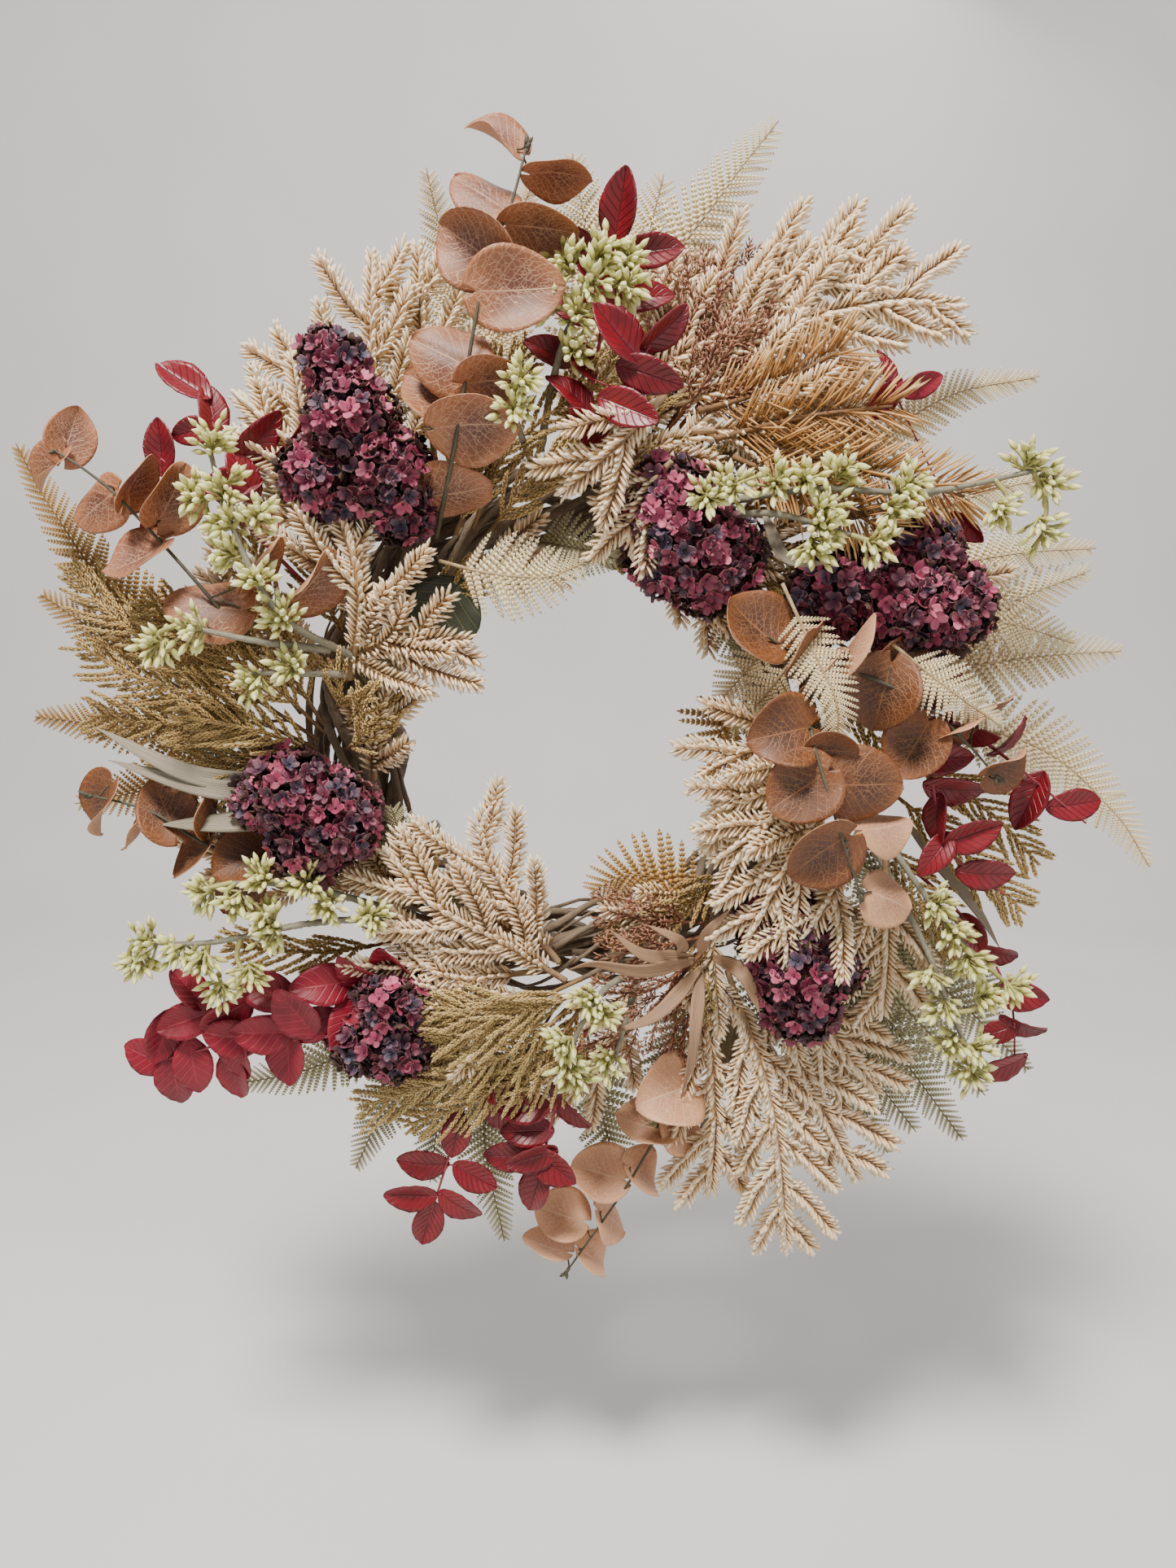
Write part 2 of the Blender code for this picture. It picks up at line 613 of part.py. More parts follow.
def hydrangea(spot, half_width, half_height, half_depth, vines):
    """A lumpy head whose back pole runs on as the stem that enters the ring."""
    middle = place(spot)
    clock = spot[0]
    out = outwards(clock)
    across = out.cross(Vector((0.0, 1.0, 0.0)))
    back = Vector((0.0, 1.0, 0.0))
    solid = Solid()
    rings = []
    for row in range(1, HEAD_ROWS):
        polar = math.pi * row / HEAD_ROWS
        start = len(solid.points)
        for column in range(HEAD_COLUMNS):
            turn = 2 * math.pi * column / HEAD_COLUMNS
            size = head_bump(row, column) * math.sin(polar)
            solid.points.append(middle + across * (half_width * size * math.cos(turn))
                                + out * (half_height * size * math.sin(turn))
                                - back * (half_depth * head_bump(row, column) * math.cos(polar)))
        rings.append(start)
    front_pole = len(solid.points)
    solid.points.append(middle - back * half_depth)
    for column in range(HEAD_COLUMNS):
        after = (column + 1) % HEAD_COLUMNS
        solid.faces.append((front_pole, rings[0] + column, rings[0] + after))
        for low, high in zip(rings, rings[1:]):
            solid.faces.append((low + column, high + column, high + after, low + after))
    stem_top = middle + back * (half_depth * 0.98)
    side = max(-BUNDLE_RADIUS * 0.5, min(BUNDLE_RADIUS * 0.5, spot[1]))
    base = CENTRE + outwards(clock) * (RING_RADIUS + side) + Vector((0.0, -BUNDLE_RADIUS - 2, 0.0))
    depth = min(free_depth(base + (across * math.cos(k) + out * math.sin(k)) * reach, vines)
                for k in range(6) for reach in (0.0, HYDRANGEA_STEM + GAP))
    stem_end = base + Vector((0.0, depth - 2 * GAP, 0.0))
    previous = rings[-1]
    for point, size in ((stem_top, HYDRANGEA_STEM * 1.6), (stem_end, HYDRANGEA_STEM)):
        start = len(solid.points)
        for column in range(HEAD_COLUMNS):
            turn = 2 * math.pi * column / HEAD_COLUMNS
            solid.points.append(point + across * (size * math.cos(turn))
                                + out * (size * math.sin(turn)))
        for column in range(HEAD_COLUMNS):
            after = (column + 1) % HEAD_COLUMNS
            solid.faces.append((previous + column, start + column, start + after, previous + after))
        previous = start
    solid.faces.append(tuple(previous + column for column in reversed(range(HEAD_COLUMNS))))
    if volume(solid) < 0:
        solid.flip()
    return solid


# ---- Blender objects ----


def make_material(name):
    colour, roughness, metallic = MATERIALS[name]
    material = bpy.data.materials.new(name)
    material.use_nodes = True
    shader = material.node_tree.nodes["Principled BSDF"]
    shader.inputs["Base Color"].default_value = (*colour, 1.0)
    shader.inputs["Roughness"].default_value = roughness
    shader.inputs["Metallic"].default_value = metallic
    material.diffuse_color = (*colour, 1.0)
    return material


def make_object(name, solid, material, parent, pivot=None, smooth=False):
    """An object whose origin is its pivot, or the wreath's origin."""
    pivot = pivot or Vector()
    mesh = bpy.data.meshes.new(name)
    mesh.from_pydata([(p - pivot) * MM for p in solid.points], [], solid.triangles())
    mesh.update()
    mesh.materials.append(material)
    mesh.polygons.foreach_set("use_smooth", [smooth] * len(mesh.polygons))
    thing = bpy.data.objects.new(name, mesh)
    bpy.context.scene.collection.objects.link(thing)
    thing.parent = parent
    thing.location = pivot * MM
    return thing


def union(target, tool):
    """Adds `tool` to `target` with a Boolean, and hides the tool."""
    modifier = target.modifiers.new("union", "BOOLEAN")
    modifier.operation = "UNION"
    modifier.solver = "EXACT"
    modifier.object = tool
    tool.hide_render = True
    tool.display_type = "WIRE"


def clear_scene():
    for thing in list(bpy.data.objects):
        bpy.data.objects.remove(thing, do_unlink=True)


def front_of(entry):
    return min(tip[2] for _, tip in entry[4])


def main():
    clear_scene()
    materials = {name: make_material(name) for name in MATERIALS}
    wreath = bpy.data.objects.new("wreath", None)
    bpy.context.scene.collection.objects.link(wreath)
    placed = []

    def keep(name, solid, slot, **more):
        placed.append((name, solid.tree()))
        return make_object(name, solid, materials[slot], wreath, **more)

    keep("vine_core", core_vine(), "vine_bark", smooth=True)
    for number in range(OUTER_VINES):
        keep(f"vine_strand_{number + 1}", outer_vine(number), "vine_bark", smooth=True)
    vines = [tree for _, tree in placed]
    for number, clock in enumerate(WIRE_CLOCKS):
        keep(f"binding_wire_{number + 1}", binding_wire(clock), "binding_wire", smooth=True)
    ring, eye = hanger_parts()
    hanger = keep("hanger_eye", ring, "binding_wire", smooth=True)
    union(hanger, keep("hanger_eye_cutter", eye, "binding_wire", smooth=True))
    pivot = Vector((0.0, LOOP_AXIS_Y, LOOP_AXIS_Z))
    keep("hanging_loop", hanging_loop(), "binding_wire", pivot=pivot, smooth=True)

    for name, spot, half_width, half_height, half_depth in HYDRANGEAS:
        head = hydrangea(spot, half_width, half_height, half_depth, vines)
        keep(name, head, "hydrangea_plum")
    for name, species, clock, side_name, branches in sorted(SPRAYS, key=front_of):

        def build(kept, lift, spread, turn, stand_off):
            return make_spray(species, clock, side_name, kept, vines,
                              lift, spread, turn, stand_off)

        keep(name, settle(name, build, branches, placed), SPECIES_SLOT[species])


main()
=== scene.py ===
"""Looks of the harvest door wreath: dried and artificial sprays round a twisted grapevine ring.

Lengths are millimetres until a mesh is made. A place on the wreath is (clock, out, front) as in
the CAD model: degrees clockwise from the top as seen from the front, distance outwards from the
ring's middle circle, and distance in front of it.
"""

import math

import bpy
import numpy as np
from mathutils import Matrix, Vector


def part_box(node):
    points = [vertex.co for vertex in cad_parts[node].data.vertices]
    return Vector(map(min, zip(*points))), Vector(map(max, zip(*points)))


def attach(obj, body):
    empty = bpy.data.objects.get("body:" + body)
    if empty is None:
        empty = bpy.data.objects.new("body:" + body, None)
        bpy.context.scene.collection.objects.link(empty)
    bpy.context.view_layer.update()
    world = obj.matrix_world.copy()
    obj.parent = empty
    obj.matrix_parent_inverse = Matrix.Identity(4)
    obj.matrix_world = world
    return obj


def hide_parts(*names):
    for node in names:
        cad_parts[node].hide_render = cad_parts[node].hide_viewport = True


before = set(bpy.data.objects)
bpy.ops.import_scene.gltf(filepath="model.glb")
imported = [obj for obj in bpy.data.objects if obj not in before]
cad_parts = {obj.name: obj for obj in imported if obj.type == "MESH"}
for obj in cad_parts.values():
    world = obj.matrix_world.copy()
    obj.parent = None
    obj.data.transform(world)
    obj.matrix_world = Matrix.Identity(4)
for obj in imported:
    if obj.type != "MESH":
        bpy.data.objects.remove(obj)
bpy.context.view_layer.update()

MM = 0.001
RING_RADIUS = 130.0
CENTRE = np.array([0.0, 0.0, -100.0])
FRONT = np.array([0.0, -1.0, 0.0])
BACK = np.array([0.0, 1.0, 0.0])
GOLDEN = math.pi * (3 - math.sqrt(5))
FIVE_ROWS = 2 * math.pi * 2 / 5  # a turn that sets needles in five rows
BLACK, WHITE = (0, 0, 0, 1), (1, 1, 1, 1)
LEAF, STEM, UNDER = 0, 1, 2  # a spray's material slots


# ---- places and paths ----


def place(clock, out, front):
    turn = math.radians(clock)
    reach = RING_RADIUS + out
    return CENTRE + np.array([reach * math.sin(turn), -front, reach * math.cos(turn)])


def unit(vectors):
    vectors = np.asarray(vectors, float)
    return vectors / np.maximum(np.linalg.norm(vectors, axis=-1, keepdims=True), 1e-9)


def respaced(dense, step):
    along = np.concatenate([[0.0], np.cumsum(np.linalg.norm(np.diff(dense, axis=0), axis=1))])
    wanted = np.linspace(0.0, along[-1], max(4, int(along[-1] / step) + 1))
    return np.column_stack([np.interp(wanted, along, dense[:, k]) for k in range(3)])


def curve(points, step=1.5):
    """An evenly spaced path that passes smoothly through the points."""
    points = np.array(points, float)
    ends = np.vstack([2 * points[0] - points[1], points, 2 * points[-1] - points[-2]])
    t = np.linspace(0, 1, 20, endpoint=False)[:, None]
    parts = [0.5 * (2 * b + (c - a) * t + (2 * a - 5 * b + 4 * c - d) * t ** 2
                    + (3 * b - a - 3 * c + d) * t ** 3)
             for a, b, c, d in zip(ends, ends[1:], ends[2:], ends[3:])]
    return respaced(np.vstack(parts + [points[-1:]]), step)


def route(places, step=1.5):
    return curve([place(*p) for p in places], step)


def path_length(path):
    return float(np.linalg.norm(np.diff(path, axis=0), axis=1).sum())


def at(path, shares):
    """Points and directions of an evenly spaced path at shares of its length."""
    where = np.clip(shares, 0.0, 1.0) * (len(path) - 1)
    steps = np.arange(len(path))
    points = np.column_stack([np.interp(where, steps, path[:, k]) for k in range(3)])
    slopes = np.gradient(path, axis=0)
    slopes = np.column_stack([np.interp(where, steps, slopes[:, k]) for k in range(3)])
    return points, unit(slopes)


def frames(origins, along, facing, lengths, widths, depths):
    """One 3x4 matrix per copy: X across, Y towards `facing`, Z along the copy."""
    along = unit(along)
    side = unit(np.cross(facing, along))
    normal = np.cross(along, side)
    count = len(along)
    sizes = [np.broadcast_to(np.asarray(s, float), (count,))[:, None] for s in (widths, depths, lengths)]
    return np.stack([side * sizes[0], normal * sizes[1], along * sizes[2],
                     np.broadcast_to(origins, (count, 3))], axis=2)


# ---- shapes that are copied many times ----


class Shape:
    """A small mesh of unit length along Z, with (across, along) coordinates for its pattern."""

    def __init__(self, points, coords, faces, finishes=None):
        self.points = np.array(points, float)
        self.coords = np.array(coords, float)
        self.corners = np.array([k for face in faces for k in face])
        self.sizes = np.array([len(face) for face in faces])
        self.finishes = np.zeros(len(faces), int) if finishes is None else np.array(finishes)


def spindle(profile, sides, squash=1.0):
    """Rings of (along, radius), closed at both ends, and flattened by the squash."""
    points, coords, faces = [], [], []
    for along, radius in profile:
        for k in range(sides):
            turn = 2 * math.pi * k / sides
            points.append((radius * math.cos(turn), radius * squash * math.sin(turn), along))
            coords.append((0.5 + 0.5 * math.cos(turn), along))
    for ring in range(len(profile) - 1):
        for k in range(sides):
            a, b = ring * sides + k, ring * sides + (k + 1) % sides
            faces.append((a, b, b + sides, a + sides))
    last = (len(profile) - 1) * sides
    faces.append(tuple(range(sides - 1, -1, -1)))
    faces.append(tuple(range(last, last + sides)))
    return Shape(points, coords, faces)


def needle():
    """A moulded needle: four sided, full along its middle and blunt at its tip."""
    points, coords, faces = [(0, 0, 0)], [(0.5, 0)], []
    for along, half in ((0.3, 0.44), (0.78, 0.5)):
        for k in range(4):
            turn = math.pi * k / 2
            points.append((half * math.cos(turn), half * math.sin(turn), along))
            coords.append((0.5 + half * math.cos(turn), along))
    points.append((0, 0, 1))
    coords.append((0.5, 1))
    for k in range(4):
        after = (k + 1) % 4
        faces.append((0, 1 + after, 1 + k))
        faces.append((1 + k, 1 + after, 5 + after, 5 + k))
        faces.append((5 + k, 5 + after, 9))
    return Shape(points, coords, faces)


def thin_needle():
    """A needle that is pointed at both ends, for rust cedar."""
    points = [(0, 0, 0), (0.5, 0, 0.4), (0, 0.5, 0.4), (-0.5, 0, 0.4), (0, -0.5, 0.4), (0, 0, 1)]
    coords = [(0.5, 0), (1, 0.4), (0.5, 0.4), (0, 0.4), (0.5, 0.4), (0.5, 1)]
    faces = [(0, 2, 1), (0, 3, 2), (0, 4, 3), (0, 1, 4), (5, 1, 2), (5, 2, 3), (5, 3, 4), (5, 4, 1)]
    return Shape(points, coords, faces)


def scale_leaf():
    """A tiny scale that hugs its twig."""
    points = [(0.5, 0, 0), (-0.5, 0, 0), (0, 0.6, 0.35), (0, 0, 1)]
    coords = [(1, 0), (0, 0), (0.5, 0.35), (0.5, 1)]
    return Shape(points, coords, [(0, 1, 2), (0, 2, 3), (2, 1, 3), (0, 3, 1)])


def unswept(u, v):
    return 0.0


def blade(half_width, surface, rows, columns, thickness, sweep=unswept):
    """A leaf sheet: half_width(v) is its outline, surface(u, v) how far it stands forward and
    sweep(u, v) how far it is drawn along the leaf."""
    points, coords, faces, finishes = [], [], [], []
    stations = [0.5 - 0.5 * math.cos(math.pi * r / rows) for r in range(rows + 1)]
    for layer in (0.5, -0.5):
        for v in stations:
            for c in range(columns + 1):
                u = 2 * c / columns - 1
                points.append((u * half_width(v), surface(u, v) + layer * thickness, v + sweep(u, v)))
                coords.append((u * 0.5 + 0.5, v))
    across = columns + 1
    under = across * (rows + 1)
    for r in range(rows):
        for c in range(columns):
            a = r * across + c
            faces.append((a, a + across, a + across + 1, a + 1))
            finishes.append(LEAF)
            b = a + under
            faces.append((b, b + 1, b + across + 1, b + across))
            finishes.append(UNDER)
    for r in range(rows):
        left, right = r * across, r * across + columns
        faces.append((left, left + under, left + under + across, left + across))
        faces.append((right, right + across, right + across + under, right + under))
        finishes += [UNDER, UNDER]
    for c in range(columns):
        low, high = c, rows * across + c
        faces.append((low, low + 1, low + 1 + under, low + under))
        faces.append((high, high + under, high + 1 + under, high + 1))
        finishes += [UNDER, UNDER]
    return Shape(points, coords, faces, finishes)


def round_leaf(cup, curl, wave, phase):
    """A eucalyptus leaf, nearly round, cupped along its midrib."""
    def half_width(v):
        return 0.5 * max(0.02, math.sin(math.pi * min(1.0, v) ** 0.8)) ** 0.56

    def surface(u, v):
        rim = abs(u) ** 2
        ripple = math.sin(7 * v + phase + (2 if u > 0 else 0))
        groove = math.exp(-(u * 9) ** 2)
        return (cup * rim * math.sin(math.pi * v) + curl * (v - 0.4) ** 2
                + wave * rim * ripple - 0.018 * groove)

    def lobes_at_the_stalk(u, v):
        return -0.16 * abs(u) ** 1.6 * (1 - v) ** 1.5
    return blade(half_width, surface, 16, 14, 0.014, lobes_at_the_stalk)


def pointed_leaf(fold, curl, phase):
    """A red leaf, oval with a short point, folded along its midrib."""
    def half_width(v):
        return 0.27 * max(0.02, math.sin(math.pi * v ** 0.88)) ** 0.64

    def surface(u, v):
        ripple = 0.012 * math.sin(34 * v - 9 * abs(u)) * abs(u)
        return (fold * abs(u) * math.sin(math.pi * v) + curl * (v - 0.35) ** 2 + ripple
                + 0.02 * math.sin(5 * v + phase) * u)
    return blade(half_width, surface, 14, 8, 0.02)


def petal():
    """A rounded floret petal that curls up at its tip."""
    def half_width(v):
        return 0.46 * max(0.12, math.sin(math.pi * (0.12 + 0.8 * v))) ** 0.6

    def surface(u, v):
        return 0.16 * v * v + 0.1 * u * u * v - 0.04 * math.exp(-(u * 3) ** 2)
    return blade(half_width, surface, 4, 4, 0.05)


def pinna(pairs):
    """One side leaf of a fern frond: a midrib with small pointed lobes on both sides."""
    longest, shortest, broadest, droop = 0.125, 0.035, 0.118, 0.05
    points, coords, faces = [], [], []

    def lobe(base, along, length, width):
        across = np.array([along[2], 0.0, -along[0]])
        start = len(points)
        middle = base + along * length * 0.42
        for point, v in ((base - across * width * 0.5, 0.15), (base + across * width * 0.5, 0.15),
                         (middle + across * width * 0.4, 0.5), (base + along * length, 1.0),
                         (middle - across * width * 0.4, 0.5)):
            points.append(point)
            coords.append((0.5, v))
        for push in (0.35, -0.2):
            points.append(middle + np.array([0.0, push * width, 0.0]))
            coords.append((0.5, 0.45))
        outline = [start, start + 1, start + 2, start + 3, start + 4]
        for a, b in zip(outline, outline[1:] + outline[:1]):
            faces.append((a, b, start + 5))
            faces.append((b, a, start + 6))

    for k in range(pairs):
        t = (k + 0.35) / pairs
        length = longest * (1 - t) ** 0.5 + shortest
        for hand in (1, -1):
            angle = math.radians(58 - 14 * t)
            along = np.array([hand * math.sin(angle), 0.0, math.cos(angle)])
            base = np.array([0.0, -droop * t * t, t * 0.95])
            lobe(base, along, length, broadest * (1 - 0.35 * t))
    lobe(np.array([0.0, -droop, 0.93]), np.array([0.0, 0.0, 1.0]), 0.08, 0.04)
    shape = Shape(points, coords, faces)
    rib = spindle([(0.0, 0.02), (0.5, 0.014), (0.97, 0.006)], 4, 0.8)
    rib.points[:, 1] -= droop * rib.points[:, 2] ** 2
    return joined(shape, rib)


def joined(first, second):
    count = len(first.points)
    shape = Shape(first.points, first.coords, [(0, 0, 0)])
    shape.points = np.vstack([first.points, second.points])
    shape.coords = np.vstack([first.coords, second.coords])
    shape.corners = np.concatenate([first.corners, second.corners + count])
    shape.sizes = np.concatenate([first.sizes, second.sizes])
    shape.finishes = np.concatenate([first.finishes, second.finishes])
    return shape


NEEDLE = needle()
THIN_NEEDLE = thin_needle()
SCALE = scale_leaf()
PINNA = pinna(9)
PETAL = petal()
BUD = spindle([(0.0, 0.09), (0.12, 0.18), (0.34, 0.235), (0.6, 0.21), (0.82, 0.11), (1.0, 0.015)], 7)
ROUND_LEAVES = [round_leaf(0.20, 0.16, 0.03, 0), round_leaf(0.26, -0.24, 0.05, 2),
                round_leaf(0.14, 0.34, 0.06, 4), round_leaf(-0.14, -0.20, 0.05, 1)]
RED_LEAVES = [pointed_leaf(0.11, -0.22, 0), pointed_leaf(0.15, 0.18, 2), pointed_leaf(0.07, -0.34, 4)]


# ---- piles: many copies in one mesh ----


class Pile:
    """Copies of small shapes gathered into one piece."""

    def __init__(self, seed):
        self.rng = np.random.default_rng(seed)
        self.points, self.coords, self.shades = [], [], []
        self.corners, self.sizes, self.finishes = [], [], []
        self.count = 0

    def add(self, shape, places, shades, finish=0):
        copies, size = len(places), len(shape.points)
        points = np.einsum("nij,pj->npi", places[:, :, :3], shape.points) + places[:, None, :, 3]
        self.points.append(points.reshape(-1, 3))
        self.coords.append(np.tile(shape.coords, (copies, 1)))
        self.shades.append(np.repeat(np.broadcast_to(shades, (copies,)), size))
        firsts = self.count + np.arange(copies) * size
        self.corners.append((firsts[:, None] + shape.corners[None, :]).ravel())
        self.sizes.append(np.tile(shape.sizes, copies))
        self.finishes.append(np.tile(shape.finishes + finish, copies))
        self.count += copies * size

    def tube(self, path, radii, sides=6, finish=STEM, shade=0.5, ripple=0.0):
        """A round stem along the path. The second coordinate runs in centimetres along it."""
        path = np.asarray(path, float)
        radii = np.broadcast_to(np.asarray(radii, float), (len(path),))
        slopes = unit(np.gradient(path, axis=0))
        side = unit(np.cross(slopes[0], FRONT + np.array([0.13, 0.0, 0.21])))
        sides_at = []
        for slope in slopes:
            side = unit(side - slope * np.dot(side, slope))
            sides_at.append(side)
        sides_at = np.array(sides_at)
        ups = np.cross(slopes, sides_at)
        turns = np.linspace(0, 2 * math.pi, sides, endpoint=False)
        lengths = np.concatenate([[0.0], np.cumsum(np.linalg.norm(np.diff(path, axis=0), axis=1))])
        bumps = 1 + ripple * self.rng.uniform(-1, 1, (len(path), sides))
        rings = path[:, None, :] + (radii[:, None] * bumps)[:, :, None] * (
            sides_at[:, None, :] * np.cos(turns)[None, :, None]
            + ups[:, None, :] * np.sin(turns)[None, :, None])
        coords = np.stack(np.broadcast_arrays(turns[None, :] / (2 * math.pi),
                                              lengths[:, None] / 10), axis=2)
        rows = np.arange(len(path) - 1)[:, None] * sides
        around = np.arange(sides)[None, :]
        after = (around + 1) % sides
        quads = np.stack([rows + around, rows + after, rows + sides + after, rows + sides + around],
                         axis=2).reshape(-1, 4) + self.count
        last = self.count + (len(path) - 1) * sides
        caps = np.concatenate([self.count + np.arange(sides)[::-1], last + np.arange(sides)])
        self.points.append(rings.reshape(-1, 3))
        self.coords.append(coords.reshape(-1, 2))
        self.shades.append(np.full(len(path) * sides, shade))
        self.corners += [quads.ravel(), caps]
        self.sizes += [np.full(len(quads), 4), np.full(2, sides)]
        self.finishes.append(np.full(len(quads) + 2, finish))
        self.count += len(path) * sides

    def piece(self, name, looks, slot, nodes=(), body="wreath"):
        """Makes the mesh object, lets it ride and hides the CAD parts that it stands for."""
        mesh = bpy.data.meshes.new(name)
        points = np.concatenate(self.points) * MM
        corners = np.concatenate(self.corners).astype(np.int32)
        sizes = np.concatenate(self.sizes)
        mesh.vertices.add(len(points))
        mesh.vertices.foreach_set("co", points.ravel().astype(np.float32))
        mesh.loops.add(len(corners))
        mesh.loops.foreach_set("vertex_index", corners)
        mesh.polygons.add(len(sizes))
        starts = np.concatenate([[0], np.cumsum(sizes)[:-1]]).astype(np.int32)
        mesh.polygons.foreach_set("loop_start", starts)
        mesh.polygons.foreach_set("material_index", np.concatenate(self.finishes).astype(np.int32))
        mesh.polygons.foreach_set("use_smooth", np.full(len(sizes), True))
        for look in looks:
            mesh.materials.append(LOOK[look])
        layer = mesh.uv_layers.new(name="pattern")
        layer.data.foreach_set("uv", np.concatenate(self.coords)[corners].ravel().astype(np.float32))
        shade = mesh.attributes.new("shade", "FLOAT", "POINT")
        shade.data.foreach_set("value", np.concatenate(self.shades).astype(np.float32))
        mesh.update(calc_edges=True)
        thing = bpy.data.objects.new(name, mesh)
        bpy.context.scene.collection.objects.link(thing)
        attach(thing, body)
        if nodes:
            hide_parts(*nodes)

    def spray(self, name, looks, slot):
        """A piece that stands for the CAD node of its name, if there is one."""
        self.piece("look_" + name, looks, slot, [name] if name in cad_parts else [])


# ---- how each plant grows ----


def needled(pile, path, gap, length, width, spread, flat=0.8, shape=NEEDLE, shade=0.5, start=0.0,
            end_spread=0.5, depth=0.8, divergence=GOLDEN, stray=0.4):
    """Needles or scales all round a twig, leaning by the spread towards its tip, and by less over
    its last fifth. Each is turned about the twig by the divergence from the one before it, within
    the stray. The start is the bare share of the twig, and flat below 1 lays them to the sides."""
    count = max(4, int(path_length(path) * (1 - start) / gap))
    shares = start + (1 - start) * (np.arange(count) + pile.rng.uniform(0, 1, count)) / count
    origins, axis = at(path, shares)
    side = unit(np.cross(axis, FRONT))
    up = np.cross(side, axis)
    turn = divergence * np.arange(count) + pile.rng.uniform(-stray, stray, count)
    radial = unit(side * np.cos(turn)[:, None] + up * (flat * np.sin(turn))[:, None])
    ending = np.clip((shares - 0.8) / 0.2, 0, 1)
    lean = np.radians(spread) * (1 - (1 - end_spread) * ending) * pile.rng.uniform(0.85, 1.15, count)
    along = axis * np.cos(lean)[:, None] + radial * np.sin(lean)[:, None]
    sizes = length * pile.rng.uniform(0.85, 1.1, count) * (1 - 0.15 * ending)
    shades = np.clip(shade + pile.rng.uniform(-0.18, 0.18, count), 0, 1)
    pile.add(shape, frames(origins, along, radial, sizes, width, width * depth), shades)


def side_twig(pile, path, share, hand, angle, length, lift=0.2, bow=0.15):
    """The path of a twig that leaves a branch at an angle and bows back along it."""
    base, axis = at(path, [share])
    base, axis = base[0], axis[0]
    across = unit(np.cross(axis, FRONT))
    up = np.cross(across, axis)
    turn = math.radians(angle * pile.rng.uniform(0.85, 1.15))
    way = unit(axis * math.cos(turn) + across * hand * math.sin(turn) + up * pile.rng.uniform(-lift, lift))
    end = base + way * length + axis * length * bow
    return curve([base, base + way * length * 0.5, end])


def spruce_branch(pile, places, reach):
    """A main stem covered in needles, with twigs that leave it to both sides."""
    pitch, start, angle = 14.5, 0.22, 40
    gap, stem_needle, twig_needle, width, spread, flat = 0.62, 10.6, 10.2, 2.7, 47, 0.7
    rows = {"depth": 0.6, "divergence": FIVE_ROWS, "stray": 0.14}
    path = route(places)
    total = path_length(path)
    tone = pile.rng.uniform(0.3, 0.7)
    pile.tube(path, np.linspace(2.0, 1.0, len(path)), 5, shade=tone)
    needled(pile, path, gap, stem_needle, width, spread, flat, start=start * 0.5, shade=tone, **rows)
    hand = 1
    distance = total * start
    while distance < total - 12:
        size = min(reach, 12 + 0.72 * (total - distance)) * pile.rng.uniform(0.82, 1.1)
        twig = side_twig(pile, path, distance / total, hand, angle, size)
        shade = np.clip(tone + pile.rng.uniform(-0.2, 0.2), 0, 1)
        pile.tube(twig, np.linspace(1.4, 0.8, len(twig)), 4, shade=shade)
        needled(pile, twig, gap, twig_needle, width, spread, flat, shade=shade, **rows)
        hand = -hand
        distance += pitch * pile.rng.uniform(0.75, 1.2)


def plume(pile, places, reach, pitch, angle, scale, gap, shape=SCALE, broad=0.6, forks=False,
          spread=25):
    """A feathery spray: a stem and side cords of overlapping scales, which fork on cedar."""
    start = 0.2
    scales = {"shape": shape, "depth": 0.9}
    path = route(places)
    total = path_length(path)
    tone = pile.rng.uniform(0.25, 0.75)
    pile.tube(path, np.linspace(1.3, 0.5, len(path)), 5, shade=tone)
    needled(pile, path, gap, scale, scale * broad, spread, start=start * 0.8, shade=tone, **scales)
    hand = 1
    distance = total * start
    while distance < total - 4:
        size = min(reach, 7 + 0.6 * (total - distance)) * pile.rng.uniform(0.75, 1.15)
        twig = side_twig(pile, path, distance / total, hand, angle, size, lift=0.35, bow=0.2)
        shade = np.clip(tone + pile.rng.uniform(-0.25, 0.25), 0, 1)
        pile.tube(twig, scale * broad * 0.3, 3, shade=shade)
        needled(pile, twig, gap, scale, scale * broad, spread, shade=shade, **scales)
        if forks:
            for share, turn in ((0.35, hand), (0.6, -hand)):
                fork = side_twig(pile, twig, share, turn, angle, size * 0.45, lift=0.3)
                needled(pile, fork, gap, scale, scale * broad, spread, shade=shade, **scales)
        hand = -hand
        distance += pitch * pile.rng.uniform(0.7, 1.2)


